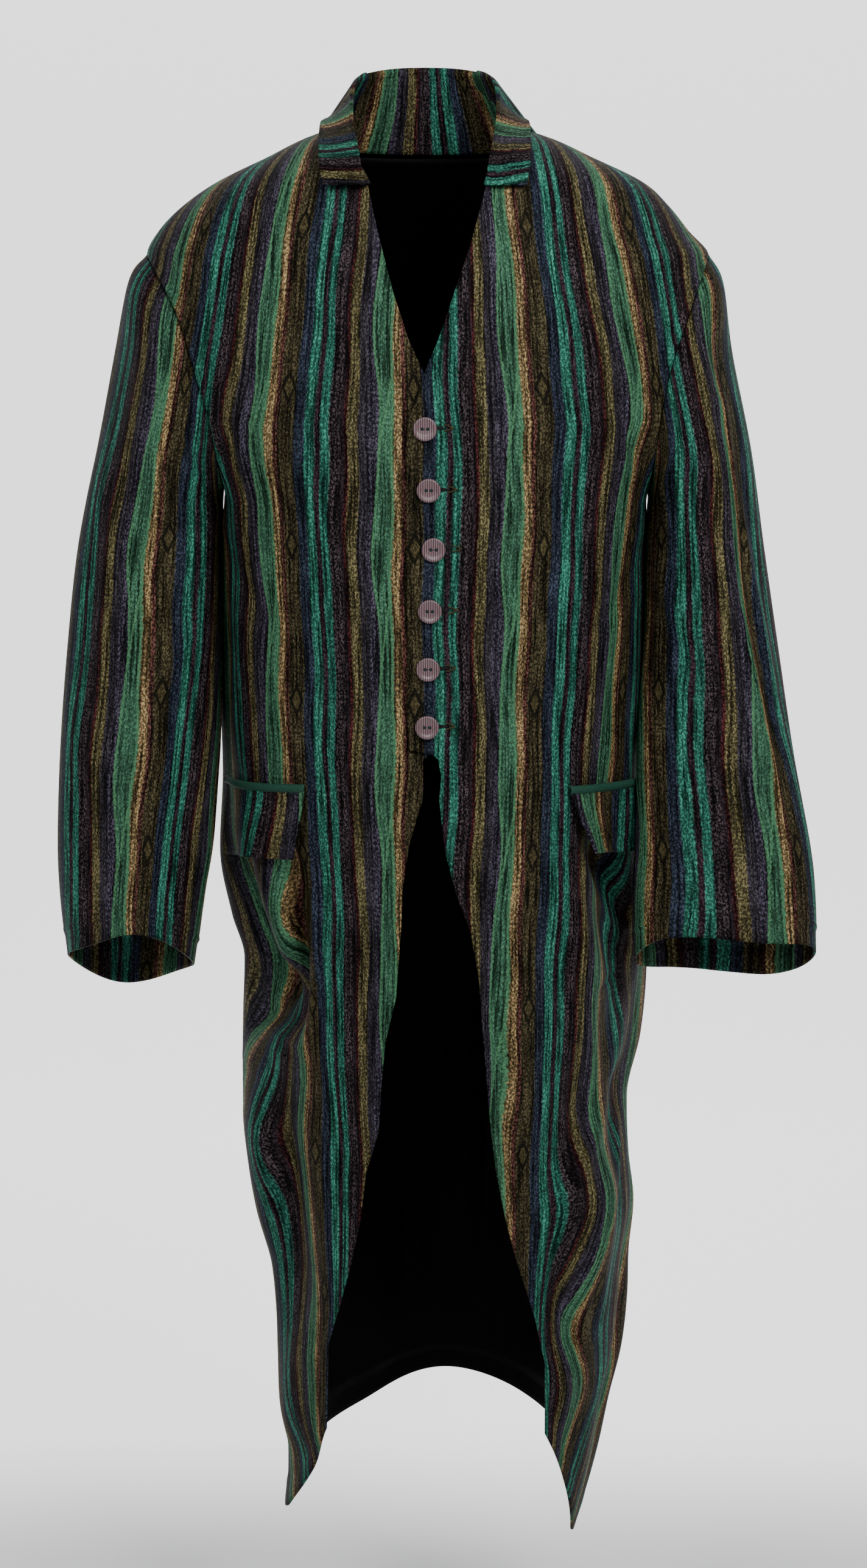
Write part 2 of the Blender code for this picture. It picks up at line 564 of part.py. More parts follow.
def pocket_grid(row, top, bottom, out_top, out_bottom, rows, lean):
    """Points over a front between two heights, standing out from it by two distances."""
    side, _, _, _, _, x_front, x_side, x_low = row
    down = np.linspace(0, 1, rows + 1)[:, None]
    along = np.linspace(0, 1, POCKET_STEPS + 1)[None, :]
    front_x = x_front + (x_low - x_front) * down * lean
    z_top = top[0] + (top[1] - top[0]) * along
    z_low = bottom[0] + (bottom[1] - bottom[0]) * along
    z = z_low + (z_top - z_low) * (1 - down)
    start = place_of(side, front_x, z)
    end = np.full(z.shape, place_of(side, np.array(x_side), np.array(top[1])))
    place = start + (end - start) * along
    out = out_top + (out_bottom - out_top) * ease(down)
    away = body_point(side, False, place, z, 1.0) - body_point(side, False, place, z)
    return on_panel(side, place, z) + out[..., None] * away


def make_pocket(name, row, cloth, piping):
    """Welt and flap of one pocket."""
    top = np.array(row[1:3])
    bottom = np.array(row[3:5])
    outward = row[0] == "under"
    lower_welt = top - WELT_HEIGHT
    welt = pocket_grid(row, top, lower_welt, POCKET_RISE, POCKET_RISE + WELT_TILT, 1, 0.0)
    shell_object("welt_" + name, welt, piping, WALL, outward=outward)
    flap_top = lower_welt - 2 * SEAM_GAP
    flap = pocket_grid(row, flap_top, bottom, POCKET_RISE, FLAP_LIFT, 4, 1.0)
    shell_object("flap_" + name, flap, cloth, WALL, outward=outward)


def make_button(name, x, z, material):
    """A round button with a raised rim and a dished middle, on the upper front."""
    radius = BUTTON_DIAMETER / 2
    thick = BUTTON_THICKNESS
    profile = ((0.0, thick * 0.62), (radius * 0.55, thick * 0.66), (radius * 0.72, thick * 0.98),
               (radius * 0.88, thick), (radius, thick * 0.62), (radius * 0.94, 0.0), (0.0, 0.0))
    mesh = bpy.data.meshes.new(name)
    edges = [(i, i + 1) for i in range(len(profile) - 1)]
    mesh.from_pydata([(px, 0.0, pz) for px, pz in profile], edges, [])
    button = bpy.data.objects.new(name, mesh)
    JACKET.objects.link(button)
    turned = button.modifiers.new("turned", "SCREW")
    turned.steps = turned.render_steps = BUTTON_STEPS
    turned.use_merge_vertices = True
    turned.merge_threshold = 0.00001
    mesh.materials.append(material)
    height, across = np.array(z), np.array(x)
    place = place_of("over", across, height)
    away = body_point("over", False, place, height, 1.0) - body_point("over", False, place, height)
    button.location = (on_panel("over", place, height) + BUTTON_GAP * away).tolist()
    button.rotation_euler = Vector((0, 0, 1)).rotation_difference(Vector(away)).to_euler()
    return button


def build_jacket():
    """Make every piece of the jacket."""
    cloth = make_material("stripe_cloth")
    lining = make_material("lining_cloth")
    piping = make_material("piping")
    shell = make_material("button_shell")
    make_front("front_left", "over", cloth)
    make_front("front_right", "under", cloth)
    make_back(cloth)
    make_lining(lining)
    make_sleeve("sleeve_left", "over", cloth)
    make_sleeve("sleeve_right", "under", cloth)
    make_collar(cloth)
    for name, row in POCKETS.items():
        make_pocket(name, row, cloth, piping)
    for number, (x, z) in enumerate(BUTTONS, start=1):
        make_button(f"button_{number}", x, z, shell)


for old in list(bpy.data.objects):
    bpy.data.objects.remove(old, do_unlink=True)
JACKET = bpy.data.collections.new("long_jacket")
bpy.context.scene.collection.children.link(JACKET)
build_jacket()
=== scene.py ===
# %% [markdown]
# # A long striped jacket
# The jacket hangs in its worn, hollow form. Its cloth is heavy and woven in wavy, speckled stripes,
# and its two fronts are cut away below the waist. Every piece here is a thin shell of cloth that
# follows the imported solids, with the creases given one by one. First the imported model is loaded.

# %% Load the imported model
import math

import bmesh
import bpy
import numpy as np
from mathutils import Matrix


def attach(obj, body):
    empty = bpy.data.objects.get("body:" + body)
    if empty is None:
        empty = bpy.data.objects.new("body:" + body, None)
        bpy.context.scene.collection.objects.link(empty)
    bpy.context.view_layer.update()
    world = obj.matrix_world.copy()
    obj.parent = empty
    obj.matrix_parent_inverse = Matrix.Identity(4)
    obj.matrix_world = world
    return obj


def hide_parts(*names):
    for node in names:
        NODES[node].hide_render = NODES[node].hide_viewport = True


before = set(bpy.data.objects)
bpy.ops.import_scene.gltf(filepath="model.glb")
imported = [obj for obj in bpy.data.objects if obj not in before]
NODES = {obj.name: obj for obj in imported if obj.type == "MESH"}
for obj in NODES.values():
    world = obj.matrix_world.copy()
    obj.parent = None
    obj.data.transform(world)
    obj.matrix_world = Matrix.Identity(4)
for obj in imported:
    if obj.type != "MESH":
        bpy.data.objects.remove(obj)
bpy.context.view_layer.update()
print(len(NODES), "solids:", ", ".join(sorted(NODES)))

# %% [markdown]
# ## Camera, light and room
# A garment on a figure is photographed from a few metres away with a long lens, which keeps the
# proportions natural. The camera stands at neck height and looks slightly down. A large soft light at
# each front corner shows the weave and lets the folds fall into shade at the sides, and one from behind
# and above picks out the shoulders.

# %% Camera
CAMERA_PLACE = (0.0055, -3.6, 0.092)
CAMERA_TARGET = (0.0055, 0.0, -0.568)
LENS_MM = 93.85
SENSOR_MM = 36.0
VIEW_END = 50.0          # metres


def aim(obj, place, target):
    """Puts obj at place with its -Z axis pointing at target and its Y axis up."""
    away = np.array(place, float) - np.array(target, float)
    away /= np.linalg.norm(away)
    obj.location = place
    tilt = math.acos(away[2])
    turn = math.atan2(away[1], away[0]) + math.pi / 2
    obj.rotation_euler = (tilt, 0.0, turn)


camera = bpy.data.objects.new("camera", bpy.data.cameras.new("camera"))
camera.data.lens = LENS_MM
camera.data.sensor_width = SENSOR_MM
camera.data.clip_end = VIEW_END
bpy.context.scene.collection.objects.link(camera)
bpy.context.scene.camera = camera
aim(camera, CAMERA_PLACE, CAMERA_TARGET)
print("camera at", CAMERA_PLACE)

# %% Soft lights
LIGHTS = (  # name, place, width, height, watts
    ("key", (1.0, -1.9, 1.15), 0.9, 0.9, 56.0),
    ("fill", (-1.2, -2.0, 0.95), 1.1, 1.1, 27.0),
    ("rim", (0.0, 1.6, 1.6), 2.2, 0.8, 14.0),
)
LIGHT_TARGET = (0.0, 0.0, -0.3)
AIR_COLOUR, AIR_STRENGTH = (0.93, 0.95, 1.0, 1.0), 0.22
for name, place, width, height, watts in LIGHTS:
    light = bpy.data.objects.new(name, bpy.data.lights.new(name, "AREA"))
    light.data.shape = "RECTANGLE"
    light.data.size, light.data.size_y, light.data.energy = width, height, watts
    bpy.context.scene.collection.objects.link(light)
    aim(light, place, LIGHT_TARGET)
world = bpy.data.worlds.new("studio air")
world.use_nodes = True
air = world.node_tree.nodes["Background"]
air.inputs["Color"].default_value = AIR_COLOUR
air.inputs["Strength"].default_value = AIR_STRENGTH
bpy.context.scene.world = world
print(len(LIGHTS), "soft lights")

# %% [markdown]
# ## Helpers for cloth surfaces
# A piece of cloth is a grid of points with two directions, across and along. Whole arrays are worked
# out at once, and one call puts them into a mesh. Each point also gets its place on the flat cloth, in
# metres, as a UV map, so that the woven stripes follow the cloth and not the room.

# %% Smooth curves through tables


def curve_through(knots, values, at):
    """Cubic Hermite curve through rows of values, with slopes that never overshoot."""
    knots = np.asarray(knots, float)
    values = np.asarray(values, float)
    order = np.argsort(knots)
    knots, values = knots[order], values[order]
    step = np.diff(knots)
    shape = (-1,) + (1,) * (values.ndim - 1)
    secant = np.diff(values, axis=0) / step.reshape(shape)
    slope = np.concatenate([secant[:1], (secant[:-1] + secant[1:]) / 2, secant[-1:]])
    slope[1:-1][secant[:-1] * secant[1:] <= 0] = 0
    limit = 3 * np.minimum(abs(secant[:-1]), abs(secant[1:]))
    slope[1:-1] = np.clip(slope[1:-1], -limit, limit)
    at = np.clip(np.asarray(at, float), knots[0], knots[-1])
    i = np.clip(np.searchsorted(knots, at, side="right") - 1, 0, len(step) - 1)
    t = (at - knots[i]) / step[i]
    t = t.reshape(t.shape + (1,) * (values.ndim - 1))
    h = step[i].reshape(t.shape)
    return ((2 * t**3 - 3 * t**2 + 1) * values[i] + (t**3 - 2 * t**2 + t) * h * slope[i]
            + (3 * t**2 - 2 * t**3) * values[i + 1] + (t**3 - t**2) * h * slope[i + 1])


def ease(value):
    """0 up to 0, 1 from 1 on, and 3t^2 - 2t^3 between."""
    value = np.clip(value, 0, 1)
    return value * value * (3 - 2 * value)


def unit(vectors):
    """Vectors divided by their own length."""
    return vectors / np.maximum(np.linalg.norm(vectors, axis=-1, keepdims=True), 1e-12)


print("ease at a quarter:", float(ease(0.25)))

# %% A grid of points becomes a mesh
WALL = 0.0020            # thickness of the cloth
WELD_DISTANCE = 0.00001
MATERIALS = {}


def material(name):
    """The material of this name. Its nodes are built further down."""
    if name not in MATERIALS:
        MATERIALS[name] = bpy.data.materials.new(name)
        MATERIALS[name].use_nodes = True
    return MATERIALS[name]


def grid_faces(rows, columns, closed=False):
    """Quads between neighbours of a grid of rows by columns; closed joins the last column to the first."""
    index = np.arange(rows * columns).reshape(rows, columns)
    if closed:
        index = np.concatenate([index, index[:, :1]], axis=1)
    a, b, c, d = index[:-1, :-1], index[:-1, 1:], index[1:, 1:], index[1:, :-1]
    return np.stack([a, b, c, d], -1).reshape(-1, 4)


def new_mesh_object(name, points, faces, uv, materials):
    """Object at the origin from points, faces and a flat place (u, v) in metres for each point."""
    mesh = bpy.data.meshes.new(name)
    mesh.from_pydata(points.reshape(-1, 3).tolist(), [], faces.tolist())
    layer = mesh.uv_layers.new(name="cloth")
    corners = np.zeros(len(mesh.loops), np.int32)
    mesh.loops.foreach_get("vertex_index", corners)
    layer.data.foreach_set("uv", uv.reshape(-1, 2)[corners].astype(np.float32).ravel())
    mesh.shade_smooth()
    for each in materials:
        mesh.materials.append(material(each))
    obj = bpy.data.objects.new(name, mesh)
    bpy.context.scene.collection.objects.link(obj)
    return obj


def cloth_object(name, points, uv, outside, inside, flip=False, closed=False, wall=WALL):
    """Shell of cloth: the grid is its right side, and Solidify adds the wall and the wrong side."""
    rows, columns = points.shape[:2]
    if closed:
        points = np.concatenate([points, points[:, :1]], axis=1)
        columns += 1
    faces = grid_faces(rows, columns)
    obj = new_mesh_object(name, points, faces[:, ::-1] if flip else faces, uv, (outside, inside))
    if closed:
        weld_seam(obj.data)
    skin = obj.modifiers.new("wall", "SOLIDIFY")
    skin.thickness = wall
    skin.offset = -1
    skin.material_offset = 1
    return obj


def weld_seam(mesh):
    """Merges the first and last column of a closed grid, which lie on each other."""
    form = bmesh.new()
    form.from_mesh(mesh)
    bmesh.ops.remove_doubles(form, verts=form.verts, dist=WELD_DISTANCE)
    form.to_mesh(mesh)
    form.free()


def stands_for(obj, slot, *nodes):
    """obj rides on the jacket's one body and replaces the nodes; slot is not used."""
    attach(obj, "root")
    if nodes:
        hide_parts(*nodes)


def cloth_area(points):
    """Area of a grid of points: half the length of the cross product of each cell's diagonals."""
    one = points[1:, 1:] - points[:-1, :-1]
    two = points[1:, :-1] - points[:-1, 1:]
    return float(np.linalg.norm(np.cross(one, two), axis=-1).sum() / 2)


print("wall of the cloth:", WALL * 1000, "mm")

# %% [markdown]
# ## The form of the body
# The body of the jacket is a stack of level sections. Each is a superellipse, whose width and depth
# come from a short table. A place on a section runs from 0 in the middle to 1 at the side seam. The
# same surface carries the fronts, the back, the lining, the pockets and the buttons, so all of them
# meet, whatever the creases do.

# %% Sections of the body, the same as the solids have
BODY_COLUMNS = ("z", "left", "right", "side_y", "front_y", "back_y", "power")
BODY_SECTIONS = np.array([
    (-1.270, -0.1345, 0.137, 0.020, -0.108, 0.150, 2.0),
    (-1.230, -0.1300, 0.149, 0.020, -0.110, 0.150, 2.0),
    (-1.190, -0.1268, 0.159, 0.020, -0.112, 0.150, 2.0),
    (-1.145, -0.1352, 0.168, 0.020, -0.115, 0.150, 2.0),
    (-1.098, -0.137, 0.179, 0.020, -0.119, 0.149, 2.0),
    (-1.050, -0.138, 0.184, 0.020, -0.123, 0.148, 2.0),
    (-1.005, -0.142, 0.185, 0.020, -0.126, 0.146, 2.0),
    (-0.959, -0.154, 0.189, 0.020, -0.130, 0.144, 2.0),
    (-0.913, -0.162, 0.184, 0.020, -0.134, 0.142, 2.0),
    (-0.860, -0.168, 0.182, 0.020, -0.138, 0.140, 2.1),
    (-0.800, -0.168, 0.194, 0.020, -0.141, 0.137, 2.1),
    (-0.730, -0.166, 0.199, 0.020, -0.143, 0.133, 2.1),
    (-0.690, -0.177, 0.198, 0.020, -0.144, 0.130, 2.1),
    (-0.630, -0.187, 0.194, 0.015, -0.146, 0.125, 2.1),
    (-0.570, -0.184, 0.191, 0.012, -0.147, 0.120, 2.2),
    (-0.510, -0.182, 0.190, 0.012, -0.147, 0.118, 2.3),
    (-0.410, -0.180, 0.190, 0.012, -0.147, 0.118, 2.4),
    (-0.310, -0.179, 0.194, 0.012, -0.145, 0.125, 2.5),
    (-0.255, -0.205, 0.214, 0.010, -0.143, 0.128, 2.5),
    (-0.205, -0.226, 0.232, 0.010, -0.138, 0.127, 2.4),
    (-0.150, -0.241, 0.245, 0.010, -0.130, 0.122, 2.25),
    (-0.120, -0.2450, 0.2475, 0.010, -0.124, 0.117, 2.15),
    (-0.097, -0.2450, 0.2460, 0.010, -0.118, 0.112, 2.1),
    (-0.077, -0.235, 0.229, 0.010, -0.112, 0.105, 2.0),
    (-0.056, -0.2145, 0.212, 0.011, -0.103, 0.097, 2.0),
    (-0.035, -0.184, 0.189, 0.012, -0.092, 0.088, 2.0),
    (-0.014, -0.141, 0.1455, 0.012, -0.078, 0.078, 2.0),
    (0.007, -0.096, 0.096, 0.012, -0.052, 0.066, 2.0),
    (0.012, -0.0775, 0.0740, 0.012, -0.036, 0.062, 2.0),
])
NECK_TOP, SHOULDER_TIP, UNDERARM, HEM_START, HEM_ROW = 0.012, -0.097, -0.310, -0.900, -1.146

# Large folds that the solids have too: side, place, z, half_height, half_width, depth, slant
FRONT_FOLDS = (
    ("under", 0.50, -0.690, 0.085, 0.10, 0.010, 0.3),
    ("under", 0.76, -0.700, 0.110, 0.15, -0.034, 0.4),
    ("under", 0.60, -0.900, 0.150, 0.12, -0.012, -0.9),
    ("under", 0.80, -0.960, 0.160, 0.12, 0.006, -0.6),
    ("under", 0.92, -0.440, 0.110, 0.12, -0.008, 0.0),
    ("over", 0.45, -0.700, 0.090, 0.10, 0.009, -0.3),
    ("over", 0.66, -0.680, 0.100, 0.12, -0.020, -0.4),
    ("over", 0.78, -0.860, 0.110, 0.12, -0.014, 0.8),
    ("over", 0.62, -0.960, 0.120, 0.10, 0.010, 0.7),
    ("over", 0.90, -1.080, 0.120, 0.12, -0.010, 0.3),
)
BACK_FOLDS = (
    ("under", 0.35, -0.900, 0.300, 0.16, -0.010, 0.0),
    ("under", 0.72, -0.820, 0.260, 0.16, 0.010, 0.1),
    ("over", 0.30, -0.880, 0.300, 0.16, 0.010, 0.0),
    ("over", 0.66, -0.860, 0.280, 0.16, -0.010, -0.1),
)


def section(z):
    """Named sizes of the section at height z."""
    row = curve_through(BODY_SECTIONS[:, 0], BODY_SECTIONS[:, 1:], z)
    return dict(zip(BODY_COLUMNS[1:], np.moveaxis(row, -1, 0)))


def fold_depth(folds, side, place, z):
    """Sum over the folds of depth * exp(-across^2) * exp(-along^2)."""
    total = np.zeros(np.broadcast(place, z).shape)
    for fold_side, at, height, half_height, half_width, depth, slant in folds:
        if fold_side == side:
            across = (place - at - slant * (z - height)) / half_width
            total += depth * np.exp(-across**2 - ((z - height) / half_height) ** 2)
    return total


print("sections from", BODY_SECTIONS[0, 0], "to", BODY_SECTIONS[-1, 0], "m")

# %% Points on the body


def plain_point(side, back, place, z):
    """x = middle + reach * sin(a)^(2/p), y = side_y + deep * cos(a)^(2/p), a = place * 90 degrees."""
    size = section(z)
    middle = (size["left"] + size["right"]) / 2
    reach = size["left"] - middle if side == "under" else size["right"] - middle
    deep = (size["back_y"] if back else size["front_y"]) - size["side_y"]
    angle = place * math.pi / 2
    power = 2 / size["power"]
    x = middle + reach * np.sign(np.sin(angle)) * abs(np.sin(angle)) ** power
    y = size["side_y"] + deep * np.clip(np.cos(angle), 0, 1) ** power
    return np.stack([x, y, z], -1)


def surface_point(side, back, place, z):
    """The plain point moved along its level normal by the large folds; past the side, 1, it runs on."""
    place, z = np.broadcast_arrays(np.asarray(place, float), np.asarray(z, float))
    past = place > 1
    near = np.where(past, 2 - place, place)
    halves = []
    for half in (back, not back):
        point = plain_point(side, half, near, z)
        step = plain_point(side, half, near + 0.01, z) - plain_point(side, half, near - 0.01, z)
        turn = 1 if (side == "over") != half else -1
        normal = unit(turn * np.stack([step[..., 1], -step[..., 0]], -1))
        folds = BACK_FOLDS if half else FRONT_FOLDS
        lift = fold_depth(folds, side, near, z) * ease((1 - near) / 0.12)
        lift = lift * ease((0.995 - near) / 0.01)
        point[..., :2] += lift[..., None] * normal
        halves.append(point)
    return np.where(past[..., None], halves[1], halves[0])


def body_frame(side, back, place, z):
    """Point of the body and the outward normal there, from small steps round and up."""
    round_step = surface_point(side, back, place + 0.01, z) - surface_point(side, back, place - 0.01, z)
    up_step = surface_point(side, back, place, z + 0.002) - surface_point(side, back, place, z - 0.002)
    normal = np.cross(round_step, up_step) * (1 if (side == "over") != back else -1)
    return surface_point(side, back, place, z), unit(normal)


def place_of(side, x, z):
    """Place on the section whose plain point has this x."""
    size = section(z)
    middle = (size["left"] + size["right"]) / 2
    reach = size["left"] - middle if side == "under" else size["right"] - middle
    share = np.clip((x - middle) / reach, -1, 1)
    return np.sign(share) * np.arcsin(abs(share) ** (size["power"] / 2)) * 2 / math.pi


print("front of the chest:", np.round(body_frame("over", False, np.array(0.2), np.array(-0.3))[0], 3))

# %% [markdown]
# ## Creases
# Cloth on a figure never lies smooth. A crease is a soft ridge or trough along a bent line: it is
# deepest in the middle and dies out at both ends, and one of its sides is steeper. Each is listed
# one by one, with its own length, depth and width. The same lines on the hidden back keep it from looking
# like a different garment.

# %% The crease formula


def crease(x, z, path, half_width, depth, lean=0.0):
    """depth * exp(-(distance / width)^2) * sin(pi t)^0.7 along a quadratic curve through three points.

    t runs along the line, the distance is taken at right angles to it, and lean makes one side steeper.
    """
    start, middle, end = (np.array(p, float) for p in path)
    t = np.linspace(0, 1, 25)[:, None]
    control = 2 * middle - (start + end) / 2
    line = (1 - t) ** 2 * start + 2 * t * (1 - t) * control + t**2 * end
    best = np.full(x.shape, np.inf)
    best_t = np.zeros(x.shape)
    best_side = np.zeros(x.shape)
    for i in range(len(line) - 1):
        run = line[i + 1] - line[i]
        share = np.clip(((x - line[i, 0]) * run[0] + (z - line[i, 1]) * run[1]) / (run @ run), 0, 1)
        dx, dz = x - line[i, 0] - share * run[0], z - line[i, 1] - share * run[1]
        distance = np.hypot(dx, dz)
        nearer = distance < best
        best = np.where(nearer, distance, best)
        best_t = np.where(nearer, (i + share) / (len(line) - 1), best_t)
        best_side = np.where(nearer, np.sign(dx * run[1] - dz * run[0]), best_side)
    width = half_width * (1 + lean * best_side)
    taper = np.clip(np.sin(math.pi * np.clip(best_t, 0.02, 0.98)), 0, 1) ** 0.7
    return depth * np.exp(-(best / width) ** 2) * taper


def creases(table, face, x, z):
    """Sum of all the creases of one face of the jacket."""
    total = np.zeros(x.shape)
    for where, path, half_width, depth, lean in table:
        if where == face:
            total += crease(x, z, path, half_width, depth, lean)
    return total


def soft_waves(x, z, seed):
    """Low, wide unevenness: a sum of nine slow sine waves with fixed, uneven directions."""
    maker = np.random.default_rng(seed)
    total = np.zeros(np.broadcast(x, z).shape)
    for _ in range(9):
        kx, kz = maker.uniform(-42, 42), maker.uniform(-16, 16)
        total += maker.uniform(0.4, 1.0) * np.sin(kx * x + kz * z + maker.uniform(0, 6.28))
    return total / 5


print("soft waves reach", round(float(abs(soft_waves(np.linspace(0, 1, 99), np.zeros(99), 3)).max()), 2))

# %% Creases of the fronts, read from how the cloth hangs: face, line, half width, depth, lean
CREASES = (
    ("under", ((-0.106, -0.585), (-0.101, -0.690), (-0.111, -0.810)), 0.009, 0.0100, 0.3),
    ("under", ((-0.122, -0.600), (-0.116, -0.691), (-0.123, -0.790)), 0.011, -0.0300, -0.3),
    ("under", ((-0.160, -0.642), (-0.139, -0.707), (-0.115, -0.764)), 0.010, -0.0070, 0.2),
    ("under", ((-0.172, -0.640), (-0.156, -0.690), (-0.140, -0.745)), 0.009, 0.0050, 0.0),
    ("under", ((-0.162, -0.830), (-0.139, -0.797), (-0.112, -0.775)), 0.013, 0.0070, 0.2),
    ("under", ((-0.164, -0.790), (-0.148, -0.775), (-0.126, -0.764)), 0.008, -0.0060, 0.0),
    ("under", ((-0.158, -0.860), (-0.144, -0.926), (-0.128, -1.010)), 0.013, 0.0050, 0.2),
    ("under", ((-0.140, -0.838), (-0.123, -0.921), (-0.112, -1.060)), 0.014, -0.0055, 0.0),
    ("under", ((-0.107, -0.811), (-0.092, -0.921), (-0.084, -1.060)), 0.016, 0.0040, 0.0),
    ("under", ((-0.061, -0.620), (-0.049, -0.712), (-0.054, -0.849)), 0.014, -0.0022, 0.0),
    ("under", ((-0.032, -0.600), (-0.033, -0.712), (-0.048, -0.849)), 0.012, 0.0024, 0.0),
    ("under", ((-0.175, -0.122), (-0.164, -0.287), (-0.158, -0.497)), 0.020, 0.0030, 0.0),
    ("under", ((-0.119, -0.081), (-0.130, -0.235), (-0.121, -0.444)), 0.022, -0.0020, 0.0),
    ("under", ((-0.181, -0.282), (-0.164, -0.235), (-0.140, -0.163)), 0.010, -0.0035, 0.3),
    ("under", ((-0.171, -0.339), (-0.157, -0.381), (-0.129, -0.413)), 0.012, -0.0030, 0.2),
    ("under", ((-0.052, -0.163), (-0.061, -0.339), (-0.058, -0.497)), 0.018, 0.0018, 0.0),
    ("under", ((-0.030, -0.440), (-0.032, -0.500), (-0.026, -0.590)), 0.008, -0.0016, 0.0),
    ("under", ((-0.118, -1.060), (-0.125, -1.130), (-0.128, -1.220)), 0.009, 0.0040, 0.0),
    ("over", ((0.139, -0.600), (0.151, -0.653), (0.174, -0.705)), 0.010, 0.0085, -0.3),
    ("over", ((0.150, -0.590), (0.164, -0.648), (0.184, -0.691)), 0.012, -0.0210, 0.3),
    ("over", ((0.152, -0.736), (0.160, -0.734), (0.168, -0.729)), 0.003, -0.0024, 0.0),
    ("over", ((0.116, -0.705), (0.121, -0.715), (0.126, -0.726)), 0.003, -0.0022, 0.0),
    ("over", ((0.052, -0.748), (0.067, -0.837), (0.079, -0.926)), 0.007, -0.0032, 0.0),
    ("over", ((0.165, -0.710), (0.172, -0.760), (0.166, -0.830)), 0.008, 0.0050, 0.0),
    ("over", ((0.152, -0.730), (0.160, -0.790), (0.158, -0.850)), 0.008, -0.0040, 0.0),
    ("over", ((0.169, -0.868), (0.168, -0.910), (0.163, -0.965)), 0.007, 0.0070, 0.4),
    ("over", ((0.163, -0.965), (0.139, -1.016), (0.141, -1.080)), 0.010, 0.0065, 0.2),
    ("over", ((0.111, -0.940), (0.117, -1.010), (0.129, -1.070)), 0.009, -0.0060, 0.2),
    ("over", ((0.127, -1.060), (0.123, -1.100), (0.122, -1.160)), 0.008, 0.0045, 0.0),
    ("over", ((0.094, -0.658), (0.090, -0.794), (0.096, -0.932)), 0.018, 0.0026, 0.0),
    ("over", ((0.137, -0.767), (0.127, -0.849), (0.109, -0.932)), 0.014, -0.0045, 0.0),
    ("over", ((0.159, -0.822), (0.146, -0.877), (0.122, -0.938)), 0.010, 0.0045, 0.0),
    ("over", ((0.188, -0.282), (0.170, -0.235), (0.146, -0.163)), 0.011, -0.0040, 0.3),
    ("over", ((0.191, -0.339), (0.171, -0.386), (0.143, -0.418)), 0.012, -0.0032, 0.2),
    ("over", ((0.066, -0.163), (0.077, -0.339), (0.070, -0.497)), 0.020, 0.0018, 0.0),
    ("over", ((0.133, -0.091), (0.147, -0.235), (0.135, -0.444)), 0.024, 0.0026, 0.0),
    ("over", ((0.176, -0.392), (0.167, -0.460), (0.172, -0.529)), 0.013, -0.0032, 0.0),
    ("over", ((0.021, -0.519), (0.018, -0.567), (0.023, -0.615)), 0.006, -0.0016, 0.0),
    ("back", ((-0.150, -0.120), (-0.120, -0.260), (-0.135, -0.420)), 0.022, 0.0030, 0.0),
    ("back", ((0.150, -0.120), (0.125, -0.280), (0.130, -0.430)), 0.024, 0.0030, 0.0),
    ("back", ((-0.170, -0.330), (-0.110, -0.370), (-0.050, -0.360)), 0.012, -0.0035, 0.2),
    ("back", ((0.175, -0.340), (0.120, -0.390), (0.060, -0.385)), 0.013, -0.0035, 0.2),
    ("back", ((-0.120, -0.050), (-0.050, -0.075), (0.040, -0.072)), 0.010, -0.0022, 0.0),
    ("back", ((-0.150, -0.520), (-0.080, -0.560), (0.010, -0.545)), 0.013, -0.0034, 0.2),
    ("back", ((0.160, -0.540), (0.100, -0.590), (0.030, -0.580)), 0.014, -0.0030, 0.0),
    ("back", ((-0.040, -0.600), (-0.055, -0.850), (-0.050, -1.130)), 0.020, 0.0050, 0.0),
    ("back", ((0.020, -0.640), (0.035, -0.860), (0.030, -1.120)), 0.018, -0.0050, 0.0),
    ("back", ((-0.110, -0.660), (-0.118, -0.880), (-0.105, -1.150)), 0.018, -0.0050, 0.1),
    ("back", ((0.105, -0.650), (0.118, -0.900), (0.110, -1.160)), 0.020, 0.0055, 0.0),
)
print(len(CREASES), "creases on the body")

# %% [markdown]
# ## Where the stripes lie
# On the flat cloth the stripes are straight bands along the warp. On the body they draw together
# towards the neck and towards the hem, because the pieces are cut wider at the chest than the figure
# needs. A pull shifts the stripes sideways round one spot, which is how a fold that has swallowed some
# cloth shows from the front.

# %% Flat places of the stripes
CHEST_Z = -0.235
PULLS = (  # face, x, z, half width, half height, shift in metres
    ("under", -0.140, -0.765, 0.026, 0.062, 0.036),
    ("under", -0.150, -0.880, 0.024, 0.050, -0.020),
    ("under", -0.130, -0.670, 0.020, 0.040, -0.010),
    ("under", -0.112, -0.960, 0.030, 0.090, 0.010),
    ("over", 0.150, -0.930, 0.034, 0.055, 0.034),
    ("over", 0.135, -1.045, 0.034, 0.040, -0.030),
    ("over", 0.155, -1.130, 0.026, 0.040, 0.014),
    ("over", 0.168, -0.745, 0.020, 0.040, -0.012),
    ("over", 0.060, -0.800, 0.010, 0.090, -0.008),
)
LEAN_UP = 1.15           # how fast the stripes draw together towards the neck, per metre
LEAN_DOWN = 0.30         # and towards the hem
STRIPE_START = -0.0190   # the olive stripe starts at the edge of the upper front


def flat_across(round_length, z):
    """Flat cloth at a length round the body: longer by LEAN_UP above the chest and LEAN_DOWN below it."""
    above, below = np.maximum(z - CHEST_Z, 0), np.maximum(CHEST_Z - z, 0)
    return round_length * (1 + LEAN_UP * above + LEAN_DOWN * below)


def pulled(face, x, z):
    """Sum of the pulls: shift * exp(-across^2) * exp(-along^2)."""
    total = np.zeros(x.shape)
    for where, at_x, at_z, half_x, half_z, shift in PULLS:
        if where == face:
            total += shift * np.exp(-((x - at_x) / half_x) ** 2 - ((z - at_z) / half_z) ** 2)
    return total


